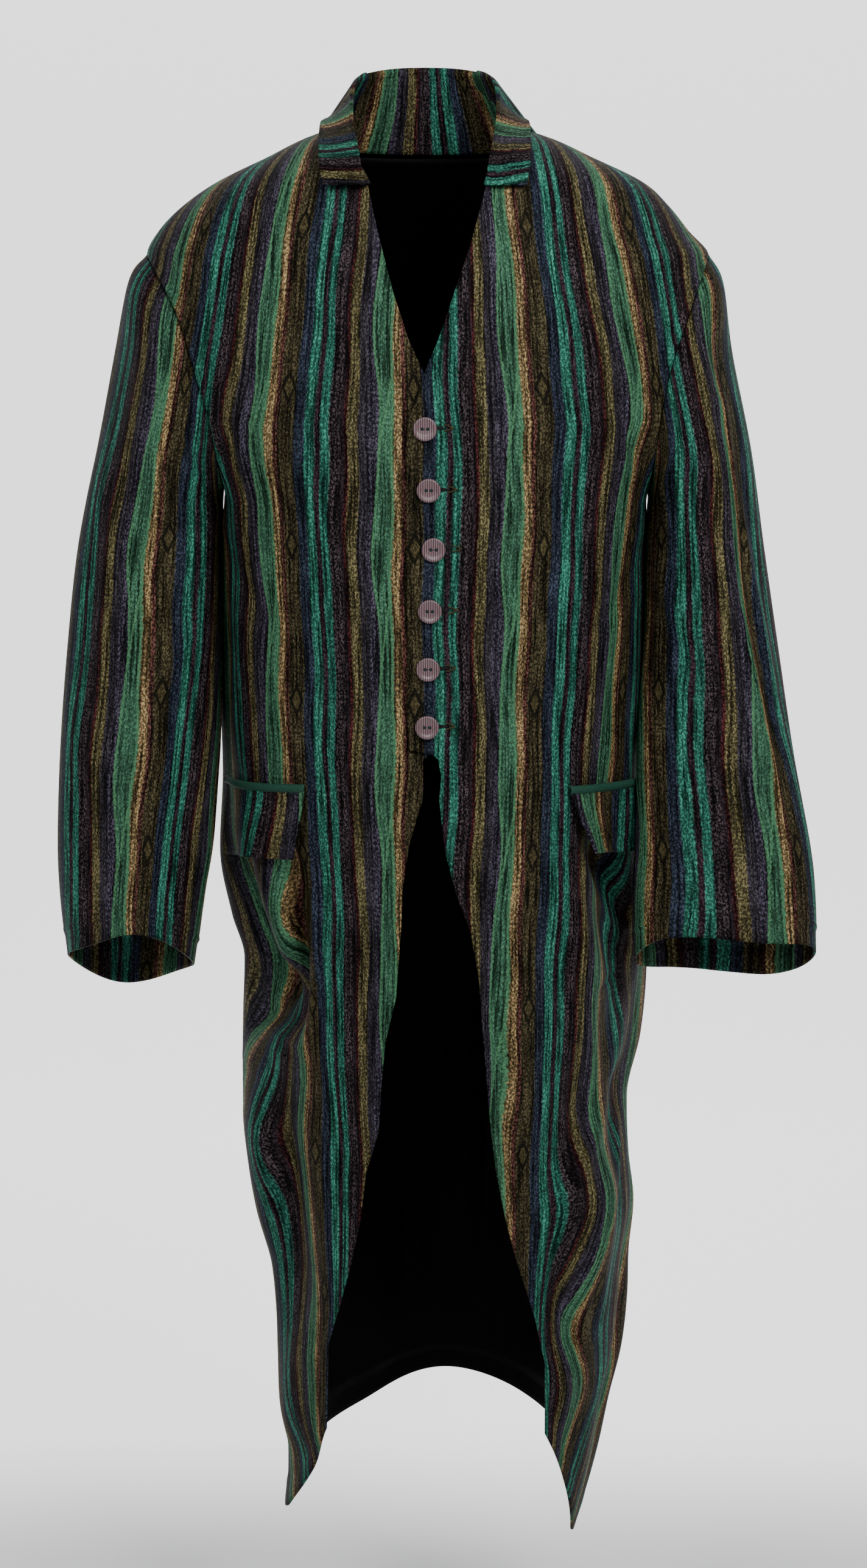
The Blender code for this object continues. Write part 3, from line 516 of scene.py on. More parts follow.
def length_round(points, middle_x=0.0):
    """Length along each row of points, zero where the row crosses x = middle_x, in the row's direction."""
    step = np.linalg.norm(np.diff(points, axis=1), axis=-1)
    length = np.concatenate([np.zeros((len(points), 1)), np.cumsum(step, axis=1)], axis=1)
    nearest = np.argmin(abs(points[..., 0] - middle_x), axis=1)
    rows = np.arange(len(points))
    offset = length[rows, nearest] + (middle_x - points[rows, nearest, 0]) * np.sign(
        points[:, -1, 0] - points[:, 0, 0])
    return length - offset[:, None]


print("a point 0.10 m out at the neck lies at", round(float(flat_across(0.1, 0.0)), 4), "m on the cloth")

# %% [markdown]
# ## The fronts
# Each front is cut in one piece from shoulder to hem. The wearer's left front laps over the other one
# down to the waist, where its edge turns square outwards. Below that both edges swing away to the
# sides. Towards the armhole the front stands a little proud of the sleeve, and along its free edges the
# cloth is folded in and thicker.

# %% Edges of the fronts, the same as the solids have
OVER_EDGE = np.array([
    (0.012, 0.0720), (0.000, 0.0660), (-0.014, 0.0590), (-0.0335, 0.0505), (-0.082, 0.0370),
    (-0.121, 0.0235), (-0.160, 0.0101), (-0.192, -0.0033), (-0.222, -0.0131), (-0.240, -0.0172),
    (-0.300, -0.0172), (-0.360, -0.0170), (-0.430, -0.0165), (-0.480, -0.0160), (-0.5117, -0.0154),
    (-0.5150, 0.0040), (-0.5200, 0.0095), (-0.535, 0.0123), (-0.556, 0.0107), (-0.601, 0.0155),
    (-0.640, 0.0255), (-0.671, 0.0371), (-0.716, 0.0451), (-0.748, 0.0473), (-0.788, 0.0511),
    (-0.854, 0.0561), (-0.895, 0.0611), (-0.937, 0.0693), (-0.970, 0.0775), (-0.996, 0.0853),
    (-1.031, 0.0958), (-1.076, 0.1053), (-1.146, 0.1058),
])
UNDER_EDGE = np.array([
    (0.012, -0.0750), (0.000, -0.0690), (-0.014, -0.0615), (-0.0314, -0.0510), (-0.069, -0.0425),
    (-0.121, -0.0290), (-0.160, -0.0161), (-0.183, -0.0058), (-0.200, 0.0030), (-0.222, 0.0110),
    (-0.300, 0.0120), (-0.360, 0.0120), (-0.430, 0.0120), (-0.500, 0.0120), (-0.5117, 0.0090),
    (-0.5200, -0.0034), (-0.5535, -0.0034), (-0.573, -0.0092), (-0.593, -0.0150), (-0.632, -0.0208),
    (-0.672, -0.0224), (-0.732, -0.0268), (-0.772, -0.0364), (-0.812, -0.0402), (-0.853, -0.0424),
    (-0.8945, -0.0543), (-0.936, -0.0588), (-0.978, -0.0665), (-1.0205, -0.0765), (-1.064, -0.0893),
    (-1.146, -0.0916),
])
ARMHOLE = np.array([
    (-0.310, -0.1790, 0.1940), (-0.290, -0.1795, 0.1950), (-0.238, -0.1865, 0.2005),
    (-0.197, -0.1985, 0.2080), (-0.145, -0.2155, 0.2260), (-0.112, -0.2340, 0.2390),
    (-0.097, -0.2450, 0.2460),
])
FRONT_HEM_STEPS = (0.0, 0.3, 0.6, 0.85, 1.0)
OVER_HEM = (-1.146, -1.205, -1.250, -1.270, -1.258)
UNDER_HEM = (-1.146, -1.197, -1.232, -1.2475, -1.240)
BACK_HEM_STEPS = (-1.0, -0.7, -0.4, 0.0, 0.4, 0.7, 1.0)
BACK_HEM = (-1.240, -1.212, -1.188, -1.162, -1.188, -1.216, -1.258)
PLACKET_DROP, PLACKET_EASE = 0.0036, 0.034
BACK_NECK_DROP = 0.020
SEAM_PLACE = 0.0007      # half a seam gap, as a place


def rows_of_body(count):
    """Heights of the rows: even, with extra rows where the lap of the fronts ends."""
    even = np.linspace(HEM_ROW, NECK_TOP, count)
    lap = np.linspace(-0.5205, -0.5110, 14)
    keep = (even < lap[0] - 0.001) | (even > lap[-1] + 0.001)
    return np.sort(np.concatenate([even[keep], lap]))


def bent_rows(rows, hem):
    """Heights of rows that bend, below HEM_START, towards the heights of the hem."""
    bend = np.clip((HEM_START - rows) / (HEM_START - HEM_ROW), 0, 1) ** 1.5
    return rows[:, None] + bend[:, None] * (hem - HEM_ROW)


def armhole_place(side, z):
    """Place where a body piece ends: the armhole above the underarm, the side seam below it."""
    x = curve_through(ARMHOLE[:, 0], ARMHOLE[:, 1 if side == "under" else 2], z)
    inside = (z > UNDERARM) & (z < SHOULDER_TIP)
    return np.where(inside, np.minimum(place_of(side, x, z), 1.0), 1.0)


def spread_places(start, end, share):
    """Places along a row. An armhole moves the outer columns more than the inner."""
    return start + (1 - start) * share - (1 - end) * share**2


print("rows of a front:", len(rows_of_body(300)))

# %% Make both fronts
FRONT_ROWS, FRONT_COLUMNS = 330, 96
HEM_FOLD = 0.0007        # how much thicker the turned edge is
EDGE_TURN, HEM_TURN, TURN_FADE = 0.006, 0.016, 0.004   # widths of the turned edge and hem, and their end
SEAM_FADE = 0.08         # share of the panel over which the creases die out at a side seam
FRONT_WAVES = 0.0009
ARMHOLE_ROLL = 0.0022
ARMHOLE_SINK = 0.0010    # the seam of the armhole lies a little deeper
SIDE_ROOM = 0.0030


def front_surface(side, row_count=FRONT_ROWS, columns=FRONT_COLUMNS):
    """Points, normals and flat places of a front, from hem to neck and from front edge to side."""
    edge, hem = (OVER_EDGE, OVER_HEM) if side == "over" else (UNDER_EDGE, UNDER_HEM)
    rows = rows_of_body(row_count)
    start = place_of(side, np.interp(rows, edge[::-1, 0], edge[::-1, 1]), rows)[:, None]
    end = armhole_place(side, rows)[:, None]
    share = np.linspace(0, 1, columns + 1)
    place = spread_places(start, end, share)
    place = place - SEAM_PLACE * (share > 0.999)
    z = bent_rows(rows, curve_through(FRONT_HEM_STEPS, hem, share))
    point, normal = body_frame(side, False, place, z)
    return point, normal, share, z


def edge_fold(share, columns_metres, z, z_low):
    """Extra height along a turned edge: HEM_FOLD up to EDGE_TURN or HEM_TURN from it, with a soft end."""
    by_edge = 1 - ease((share * columns_metres - EDGE_TURN) / TURN_FADE)
    by_hem = 1 - ease((z - z_low - HEM_TURN) / TURN_FADE)
    return HEM_FOLD * np.maximum(by_edge, by_hem)


def side_bulge(share, z):
    """A little more room at the sides, between the underarm and the waist, where the sleeves lean on."""
    between = ease((-0.308 - z) / 0.03) * ease((z + 0.57) / 0.08)
    return SIDE_ROOM * ease((share - 0.72) / 0.28) * between


def make_front(name, side):
    """One front with its creases, its turned edges and the flat place of each point."""
    point, normal, share, z = front_surface(side)
    x = point[..., 0]
    width = np.linalg.norm(np.diff(point, axis=1), axis=-1).sum(axis=1)[:, None]
    out = creases(CREASES, side, x, z) + FRONT_WAVES * soft_waves(x, z, 5 if side == "over" else 8)
    out *= ease((1 - share) / SEAM_FADE)
    out += edge_fold(share, width, z, z[:1])
    to_arm = (1 - share) * width
    by_arm = ease((z - UNDERARM) / 0.05) * ease((SHOULDER_TIP + 0.01 - z) / 0.03)
    out += ARMHOLE_ROLL * np.exp(-((to_arm - 0.008) / 0.012) ** 2) * by_arm
    out -= ARMHOLE_SINK * np.exp(-(to_arm / 0.002) ** 2)
    out += side_bulge(share, z)
    if side == "under":
        over_x = np.interp(z, OVER_EDGE[::-1, 0], OVER_EDGE[::-1, 1])
        hidden = ease((x - over_x + PLACKET_EASE) / PLACKET_EASE)
        closed = ease((z + 0.540) / 0.015) * ease((-0.150 - z) / 0.02)
        out -= PLACKET_DROP * hidden * closed
    length = length_round(point)
    if side == "under":
        length = -length
    across = flat_across(length, z) - pulled(side, x, z) - STRIPE_START
    uv = np.stack([across, z], -1)
    points = point + out[..., None] * normal
    obj = cloth_object(name, points, uv, "stripe cloth", "lining", flip=(side == "under"))
    return obj, points


for name, side in (("cloth_front_left", "over"), ("cloth_front_right", "under")):
    piece, points = make_front(name, side)
    stands_for(piece, "stripe_cloth", name[len("cloth_"):])
    area = cloth_area(points)
    print(name, "area", round(area, 3), "square metres")

# %% [markdown]
# ## The back and its lining
# The back is one wide piece from side seam to side seam, with its hem higher in the middle. The photo
# does not show it, so it is finished plainly, with long soft folds like those of the fronts. The lining
# hangs just inside it. It is black with faint upright streaks, and shows between the open fronts.

# %% Make the back and the lining
BACK_ROWS, BACK_HALF = 300, 52
LINING_INSET, LINING_WALL = 0.0026, 0.0010
BACK_WAVES, BACK_START = 0.0010, 0.041   # height of its uneven waves, and the flat place of its middle
LINING_DRAPE = 0.0005


def back_surface(rows, half_columns):
    """Points, normals and heights of the back, from the wearer's right side seam to the left one."""
    share = np.linspace(-1, 1, 2 * half_columns + 1)
    neck = ease((rows + 0.080) / (NECK_TOP + 0.080)) * BACK_NECK_DROP
    z = bent_rows(rows, curve_through(BACK_HEM_STEPS, BACK_HEM, share)) - neck[:, None] * (1 - share**2)
    points, normals = [], []
    for side, chosen in (("under", share < 0), ("over", share >= 0)):
        end = armhole_place(side, rows)[:, None]
        across = abs(share[chosen])
        place = spread_places(0, end, across) - SEAM_PLACE * across
        point, normal = body_frame(side, True, place, z[:, chosen])
        points.append(point)
        normals.append(normal)
    return np.concatenate(points, axis=1), np.concatenate(normals, axis=1), share, z


def make_back():
    """The back with its creases; the stripes run on across it."""
    point, normal, share, z = back_surface(rows_of_body(BACK_ROWS), BACK_HALF)
    x = point[..., 0]
    out = creases(CREASES, "back", x, z) + BACK_WAVES * soft_waves(x, z, 12)
    out = out * ease((1 - abs(share)) / SEAM_FADE) + side_bulge(abs(share), z)
    out += HEM_FOLD * (1 - ease((z - z[:1] - HEM_TURN) / TURN_FADE))
    across = -flat_across(length_round(point), z) + BACK_START
    points = point + out[..., None] * normal
    obj = cloth_object("cloth_back", points, np.stack([across, z], -1), "stripe cloth", "lining", flip=True)
    return obj, points


def make_lining():
    """The lining, an even distance inside the back, with shallow vertical drapes of its own."""
    rows = rows_of_body(150)[2:-1]
    point, normal, share, z = back_surface(rows, 40)
    x = point[..., 0]
    drape = LINING_DRAPE * np.sin(x * 190 + 2 * np.sin(z * 9)) * ease((-0.5 - z) / 0.2)
    inset = -(LINING_INSET + LINING_WALL) + drape
    inner = slice(1, -1)
    points = (point + inset[..., None] * normal)[:, inner]
    uv = np.stack([length_round(point), z], -1)[:, inner]
    return cloth_object("cloth_lining", points, uv, "lining", "lining", wall=LINING_WALL), points


back, back_points = make_back()
stands_for(back, "stripe_cloth", "back")
lining, lining_points = make_lining()
stands_for(lining, "lining_cloth", "lining")
for name, points in (("back", back_points), ("lining", lining_points)):
    print(name, "area", round(cloth_area(points), 3), "square metres")

# %% [markdown]
# ## The sleeves
# The sleeves are wide tubes, bent a little at the elbow and open at the cuff. The first ring is the
# armhole itself, and the rings below it come from a table for each arm. Each ring is an ellipse tilted
# with the arm. The two arms hang differently, so each has its own table and its own creases. The flat
# place runs round the ring, and the stripes run down the arm.

# %% Rings of the sleeves, the same as the solids have
SLEEVE_STEPS = 150
SLEEVE_POINTS = 120
SLEEVES = {  # outer_x, outer_z, inner_x, inner_z, middle_y, half_depth, lift
    "sleeve_right": np.array([
        (-0.2620, -0.119, -0.1815, -0.328, 0.008, 0.080, 0.000),
        (-0.2760, -0.182, -0.1820, -0.350, 0.006, 0.078, 0.000),
        (-0.2922, -0.268, -0.1825, -0.395, 0.002, 0.074, 0.000),
        (-0.3090, -0.354, -0.1830, -0.440, -0.004, 0.070, 0.000),
        (-0.3186, -0.441, -0.1840, -0.490, -0.014, 0.068, 0.000),
        (-0.3254, -0.529, -0.1862, -0.550, -0.026, 0.067, 0.004),
        (-0.3280, -0.610, -0.1900, -0.610, -0.040, 0.066, 0.010),
        (-0.3255, -0.662, -0.1980, -0.660, -0.050, 0.066, 0.022),
        (-0.3194, -0.714, -0.2065, -0.716, -0.060, 0.068, 0.034),
    ]),
    "sleeve_left": np.array([
        (0.2600, -0.121, 0.1970, -0.328, 0.008, 0.080, 0.000),
        (0.2690, -0.182, 0.1965, -0.350, 0.004, 0.076, 0.000),
        (0.2860, -0.267, 0.1958, -0.395, -0.004, 0.070, 0.000),
        (0.2970, -0.353, 0.1945, -0.440, -0.018, 0.064, 0.000),
        (0.3090, -0.440, 0.1905, -0.490, -0.036, 0.058, 0.000),
        (0.3220, -0.527, 0.1868, -0.550, -0.054, 0.053, 0.004),
        (0.3375, -0.610, 0.1825, -0.612, -0.070, 0.049, 0.010),
        (0.3420, -0.655, 0.1803, -0.656, -0.078, 0.047, 0.018),
        (0.3433, -0.706, 0.1810, -0.706, -0.086, 0.046, 0.026),
    ]),
}
SLEEVE_CREASES = (  # face, line, half width, depth, lean
    ("sleeve_right", ((-0.186, -0.304), (-0.197, -0.379), (-0.190, -0.454)), 0.010, -0.0045, 0.0),
    ("sleeve_right", ((-0.190, -0.440), (-0.209, -0.524), (-0.205, -0.640)), 0.012, 0.0040, 0.0),
    ("sleeve_right", ((-0.212, -0.347), (-0.239, -0.400), (-0.277, -0.421)), 0.011, -0.0034, 0.2),
    ("sleeve_right", ((-0.202, -0.400), (-0.230, -0.459), (-0.273, -0.486)), 0.010, -0.0030, 0.2),
    ("sleeve_right", ((-0.254, -0.126), (-0.269, -0.209), (-0.283, -0.294)), 0.014, 0.0034, 0.0),
    ("sleeve_right", ((-0.286, -0.304), (-0.298, -0.400), (-0.302, -0.507)), 0.012, 0.0030, 0.0),
    ("sleeve_right", ((-0.238, -0.470), (-0.244, -0.562), (-0.257, -0.704)), 0.014, -0.0060, 0.2),
    ("sleeve_right", ((-0.295, -0.535), (-0.296, -0.616), (-0.289, -0.720)), 0.015, 0.0034, 0.0),
    ("sleeve_right", ((-0.216, -0.209), (-0.211, -0.251), (-0.196, -0.294)), 0.009, -0.0040, 0.2),
    ("sleeve_left", ((0.242, -0.122), (0.258, -0.278), (0.280, -0.430)), 0.010, 0.0042, -0.4),
    ("sleeve_left", ((0.255, -0.200), (0.274, -0.340), (0.306, -0.500)), 0.009, -0.0060, 0.4),
    ("sleeve_left", ((0.213, -0.207), (0.209, -0.270), (0.207, -0.344)), 0.009, -0.0036, 0.0),
    ("sleeve_left", ((0.199, -0.344), (0.215, -0.397), (0.242, -0.429)), 0.010, -0.0036, 0.2),
    ("sleeve_left", ((0.199, -0.408), (0.221, -0.461), (0.253, -0.488)), 0.010, -0.0030, 0.2),
    ("sleeve_left", ((0.286, -0.531), (0.298, -0.612), (0.304, -0.720)), 0.012, 0.0040, 0.0),
    ("sleeve_left", ((0.222, -0.504), (0.218, -0.601), (0.213, -0.720)), 0.012, -0.0036, 0.0),
    ("sleeve_left", ((0.254, -0.558), (0.255, -0.623), (0.261, -0.720)), 0.012, 0.0032, 0.0),
    ("sleeve_left", ((0.234, -0.166), (0.245, -0.207), (0.261, -0.239)), 0.008, -0.0026, 0.0),
)
SLEEVE_STARTS = {"sleeve_right": 0.0137, "sleeve_left": 0.056}   # flat place of the front of each sleeve
SLEEVE_PULLS = (  # face, x, z, half width, half height, shift
    ("sleeve_right", -0.230, -0.660, 0.030, 0.070, -0.008),
)
SWALLOW = np.array([  # z, x of the fold line and cloth hidden in it, on the left sleeve
    (-0.110, 0.243, 0.000), (-0.200, 0.251, 0.016), (-0.300, 0.264, 0.028), (-0.400, 0.2755, 0.034),
    (-0.480, 0.292, 0.030), (-0.540, 0.306, 0.012), (-0.600, 0.318, 0.000),
])


SLEEVE_PRESS = {"over": 0.0038, "under": -0.0018}   # how far the arm presses its inner side inwards
SLEEVE_SEEDS = {"over": 21, "under": 23}
SLEEVE_CREASE_GAIN, SLEEVE_WAVES = 1.45, 0.0014
SLEEVE_SQUEEZE = 0.026   # cloth hidden at the inner side of the right sleeve
CUFF_TURN, CUFF_FADE = 0.0195, 0.003
CUFF_STITCH, CUFF_GROOVE = 0.0205, 0.0014   # place of the stitch line from the cuff, its depth and width
CUFF_WAVE, CUFF_WAVE_LENGTH = 0.0035, 0.09
CUFF_PHASE = {"over": 1.0, "under": 2.4}


def armhole_loop(side, count):
    """Points round an armhole, from the shoulder tip down the front edge and up the back edge."""
    turn = np.linspace(0, 2 * math.pi, count, endpoint=False)
    z = SHOULDER_TIP + (UNDERARM - SHOULDER_TIP) * (1 - np.cos(turn)) / 2
    place = armhole_place(side, z)
    front = surface_point(side, False, place, z)
    back = surface_point(side, True, place, z)
    return np.where((turn <= math.pi)[:, None], front, back), turn


def sleeve_surface(name, side):
    """Rings: middle + half * cos(turn) seen from the front, and y = middle_y - half_depth * sin(turn)."""
    table = SLEEVES[name]
    loop, turn = armhole_loop(side, SLEEVE_POINTS)
    outer, inner = table[:, None, 0:2], table[:, None, 2:4]
    across = (outer + inner) / 2 + (outer - inner) / 2 * np.cos(turn)[None, :, None]
    depth = table[:, 4, None] - table[:, 5, None] * np.sin(turn)
    height = across[..., 1] + table[:, 6, None] * np.sin(turn)
    rings = np.stack([across[..., 0], depth, height], -1)
    centre = loop.mean(axis=0)
    loop = centre + (loop - centre) * 0.992 + np.array([0.0012 if side == "over" else -0.0012, 0, 0])
    rings = np.concatenate([loop[None], rings])
    steps = np.linspace(0, 1, SLEEVE_STEPS + 1) * (len(rings) - 1)
    points = curve_through(np.arange(len(rings)), rings, steps)
    round_step = np.roll(points, -1, axis=1) - np.roll(points, 1, axis=1)
    down_step = np.gradient(points, axis=0)
    normal = unit(np.cross(down_step, round_step)) * (1 if side == "over" else -1)
    return points, normal, turn


def sleeve_flat(name, side, point, turn):
    """Flat place round a sleeve: radius * asin(offset from the arm's middle line / half width).

    Above the underarm the arm's lines run on straight, so the armhole cuts through the stripes.
    """
    table = SLEEVES[name]
    sign = 1 if side == "over" else -1
    x, z = sign * point[..., 0], point[..., 2]
    outer_z = np.concatenate([[SHOULDER_TIP], table[:, 1]])
    outer_x = np.concatenate([[0.2455], sign * table[:, 0]])
    outer = curve_through(outer_z, outer_x, z)
    half = curve_through(table[2:, 1], abs(table[2:, 0] - table[2:, 2]) / 2, z)
    angle = np.arcsin(np.clip((x - outer + half) / half, -1, 1))
    radius = (half + curve_through(table[:, 1], table[:, 5], z)) / 2
    front = np.sin(turn) > 1e-9
    flat = radius * np.where(front, angle, math.pi - angle)
    if name == "sleeve_right":
        flat = flat - SLEEVE_SQUEEZE * np.clip(-angle / 1.57, 0, 1) ** 1.3 * ease((-0.40 - z) / 0.2) * front
    return sign * flat


def make_sleeve(name, side):
    """One sleeve with its creases, its turned cuff and the flat place of each point."""
    point, normal, turn = sleeve_surface(name, side)
    half_way = SLEEVE_POINTS // 2
    point, normal = np.roll(point, -half_way, axis=1), np.roll(normal, -half_way, axis=1)
    turn = turn + math.pi
    x, z = point[..., 0], point[..., 2]
    front = ease(np.sin(turn) * 2.5 + 0.3)
    back = ease(-np.sin(turn) * 2.5 + 0.3)
    out = creases(SLEEVE_CREASES, name, x, z) * front + creases(SLEEVE_CREASES, name, x, z + 0.03) * back
    inner = np.clip(-np.cos(turn), 0, 1) ** 2 * ease((-0.312 - z) / 0.03) * ease((z + 0.60) / 0.08)
    waves = SLEEVE_WAVES * soft_waves(x * 1.2, z, SLEEVE_SEEDS[side])
    out = SLEEVE_CREASE_GAIN * out * (1 - inner) + waves * (1 - inner)
    down = np.cumsum(np.linalg.norm(np.diff(point, axis=0), axis=-1), axis=0)
    down = np.concatenate([np.zeros((1, len(turn))), down])
    to_cuff = down[-1] - down
    groove = CUFF_GROOVE * np.exp(-((to_cuff - CUFF_STITCH) / CUFF_GROOVE) ** 2)
    out += HEM_FOLD * (1 - ease((to_cuff - CUFF_TURN) / CUFF_FADE)) - groove
    out = out * ease(down / 0.02)
    points = point + out[..., None] * normal
    points[..., 0] += SLEEVE_PRESS[side] * -inner
    cuff_wave = CUFF_WAVE * np.sin(3 * turn + CUFF_PHASE[side])
    points[..., 2] += cuff_wave * (1 - ease(to_cuff / CUFF_WAVE_LENGTH))
    closed = np.concatenate([point, point[:, :1]], axis=1)
    across = sleeve_flat(name, side, closed, np.append(turn, 3 * math.pi - 1e-6)) - SLEEVE_STARTS[name]
    for where, at_x, at_z, half_x, half_z, shift in SLEEVE_PULLS:
        if where == name:
            far = ((closed[..., 0] - at_x) / half_x) ** 2 + ((closed[..., 2] - at_z) / half_z) ** 2
            across = across - shift * np.exp(-far)
    if name == "sleeve_left":
        fold_x, hidden = np.moveaxis(curve_through(SWALLOW[:, 0], SWALLOW[:, 1:], closed[..., 2]), -1, 0)
        across = across + hidden * ease((closed[..., 0] - fold_x) / 0.006 + 0.5)
    uv = np.stack([across, closed[..., 2]], -1)
    obj = cloth_object("cloth_" + name, points, uv, "stripe cloth", "stripe cloth", closed=True,
                       flip=(side == "under"))
    return obj, points


for name, side in (("sleeve_left", "over"), ("sleeve_right", "under")):
    piece, points = make_sleeve(name, side)
    stands_for(piece, "stripe_cloth", name)
    closed = np.concatenate([points, points[:, :1]], axis=1)
    print(name, "area", round(cloth_area(closed), 3), "square metres")

# %% [markdown]
# ## The collar
# The collar is one band that is sewn to the neckline, stands up round the neck and turns over. Its
# section is a short curve: up from the seam, over the roll, and down the fall, which hangs slightly
# hollow. Its length was cut across the cloth, so its stripes run over the band, from seam to edge.

# %% Make the collar
COLLAR = np.array([  # share, roll x, y, z, edge x, y, z
    (0.00, 0.0505, -0.0985, -0.0330, 0.0870, -0.0892, -0.0330),
    (0.15, 0.0555, -0.0810, -0.0070, 0.0905, -0.0690, -0.0115),
    (0.30, 0.0605, -0.0480, 0.0165, 0.0910, -0.0340, 0.0095),
    (0.44, 0.0620, -0.0180, 0.0380, 0.0900, 0.0000, 0.0180),
    (0.58, 0.0580, 0.0160, 0.0550, 0.0890, 0.0360, 0.0175),
    (0.74, 0.0420, 0.0460, 0.0610, 0.0640, 0.0800, 0.0110),
    (0.88, 0.0210, 0.0600, 0.0635, 0.0320, 0.0980, 0.0060),
    (1.00, 0.0000, 0.0650, 0.0640, 0.0000, 0.1040, 0.0040),
])
COLLAR_MIDDLE_X = -0.002
COLLAR_STATIONS, COLLAR_STEPS = 80, 44
COLLAR_SAG = 0.13
REPEAT = 0.1137          # one repeat of the stripes across the cloth
COLLAR_START, COLLAR_END = 0.0237, 0.0773   # flat places at the ends of the band


def neckline(side):
    """Points of the neck seam, from the collar's front end up the front edge and across the back."""
    point, normal, share, z = front_surface(side, 260, 8)
    rows = z[:, 0] > COLLAR[0, 3] - 0.003
    rise = point[rows, 0] + unit(point[rows, 0] - point[rows, 1]) * 0.0031
    back_point, back_normal, _, _ = back_surface(rows_of_body(260), 30)
    top = back_point[-1] - unit(back_point[-1] - back_point[-2]) * 0.0035 - back_normal[-1] * 0.0050
    across = top[30:-1][::-1] if side == "over" else top[1:31]
    return np.concatenate([rise, across])


def collar_half(side):
    """Seam, roll and edge points at the stations of half the collar."""
    line = neckline(side)
    length = np.concatenate([[0], np.cumsum(np.linalg.norm(np.diff(line, axis=0), axis=-1))])
    share = np.linspace(0, 1, COLLAR_STATIONS // 2 + 1)
    seam = curve_through(length / length[-1], line, share)
    table = curve_through(COLLAR[:, 0], COLLAR[:, 1:], share).reshape(-1, 2, 3)
    if side == "under":
        table[..., 0] *= -1
    table[..., 0] += COLLAR_MIDDLE_X
    return np.concatenate([seam[:, None], table], axis=1)


def collar_surface():
    """Along each station a curve from seam over roll to edge: straight runs, a rounded roll and a sag."""
    left, right = collar_half("over"), collar_half("under")
    rings = np.concatenate([left[:-1], (left[-1:] + right[-1:]) / 2, right[-2::-1]])
    seam, roll, edge = rings[:, None, 0], rings[:, None, 1], rings[:, None, 2]
    t = np.linspace(0, 1, COLLAR_STEPS + 1)[None, :, None]
    straight = np.where(t < 0.5, seam + (roll - seam) * t * 2, roll + (edge - roll) * (t * 2 - 1))
    centre = (seam + edge) / 2 + (roll - (seam + edge) / 2) * 0.96
    rounded = ease((0.14 - abs(t - 0.5)) / 0.14)
    points = straight + (centre - straight) * rounded * 0.25
    down_fall = np.sin(math.pi * np.clip(t * 2 - 1, 0, 1))[..., 0]
    points[..., 2] -= COLLAR_SAG * (roll - edge)[..., 2] * down_fall
    return points


def make_collar():
    """The collar with its small waves and turned edge; its flat place across grows along the band."""
    point = collar_surface()
    normal = unit(np.cross(np.gradient(point, axis=1), np.gradient(point, axis=0)))
    t = np.linspace(0, 1, COLLAR_STEPS + 1)[None, :]
    station = np.linspace(-1, 1, COLLAR_STATIONS + 1)[:, None]
    fall = ease((t - 0.52) / 0.1)
    out = 0.0007 * soft_waves(point[..., 0], point[..., 2] * 3, 31) * fall
    out += 0.0016 * np.exp(-((t - 0.78) / 0.05) ** 2) * np.exp(-((station + 0.86) / 0.09) ** 2)
    out += HEM_FOLD * ease((t - 0.93) / 0.03)
    points = point + out[..., None] * normal
    step = np.linalg.norm(np.diff(point, axis=1), axis=-1)
    band = np.concatenate([np.zeros((len(point), 1)), np.cumsum(step, axis=1)], axis=1)
    turn = np.linalg.norm(np.diff(point[:, -9], axis=0), axis=-1)
    along = np.concatenate([[0], np.cumsum(turn)])
    stretch = (COLLAR_END - COLLAR_START + 4 * REPEAT) / along[-1]
    across = COLLAR_START + along[:, None] * stretch + 0 * band
    across += 0.0035 * np.sin(band * 75) * ease((0.08 - along) / 0.04)[:, None]
    uv = np.stack([across, band], -1)
    print("collar", round(float(along[-1]), 3), "m long, its cloth drawn by", round(float(stretch), 3))
    return cloth_object("cloth_collar", points, uv, "stripe cloth", "stripe cloth"), points


collar, collar_points = make_collar()
stands_for(collar, "stripe_cloth", "collar")
print("collar", round(cloth_area(collar_points), 4), "square metres")

# %% [markdown]
# ## Pockets
# Each pocket is a slanted cut with a narrow green piped edge and a flap that hangs from under it. The
# flap's lower edge stands off the cloth and leaves a dark gap. Both are surfaces over the front, moved
# out by a distance that grows down the flap.

# %% Make the piped edges and the flaps
POCKETS = {  # side, top_front, top_side, bottom_front, bottom_side, x_front, x_side, x_low
    "right": ("under", -0.5465, -0.5580, -0.6100, -0.6250, -0.1040, -0.1815, -0.1090),
    "left": ("over", -0.5490, -0.5560, -0.6090, -0.6180, 0.1215, 0.1860, 0.1345),
}
WELT_HEIGHT, POCKET_RISE, FLAP_LIFT = 0.0044, 0.0032, 0.0105
FLAP_STARTS = {"right": 0.091, "left": -0.040}   # flat place of each flap's front end
WELT_ROLL = 0.0016       # the piped edge is rounded by this much
FLAP_SEAM = 0.0006       # gap between the piped edge and the flap
FLAP_CURL = 0.0022       # the flap's front corner curls away from the body


def pocket_surface(row, top, bottom, out_top, out_bottom, rows, columns, lean):
    """Points over a front between two heights; the distance out grows from out_top to out_bottom."""
    side, _, _, _, _, x_front, x_side, x_low = row
    down = np.linspace(0, 1, rows + 1)[:, None]
    along = np.linspace(0, 1, columns + 1)[None, :]
    z_top = top[0] + (top[1] - top[0]) * along
    z_low = bottom[0] + (bottom[1] - bottom[0]) * along
    z = z_low + (z_top - z_low) * (1 - down)
    start = place_of(side, x_front + (x_low - x_front) * down * lean, z)
    end = place_of(side, np.array(x_side), np.array(top[1]))
    point, normal = body_frame(side, False, start + (end - start) * along, z)
    out = out_top + (out_bottom - out_top) * ease(down)
    return point, normal, out, down, along


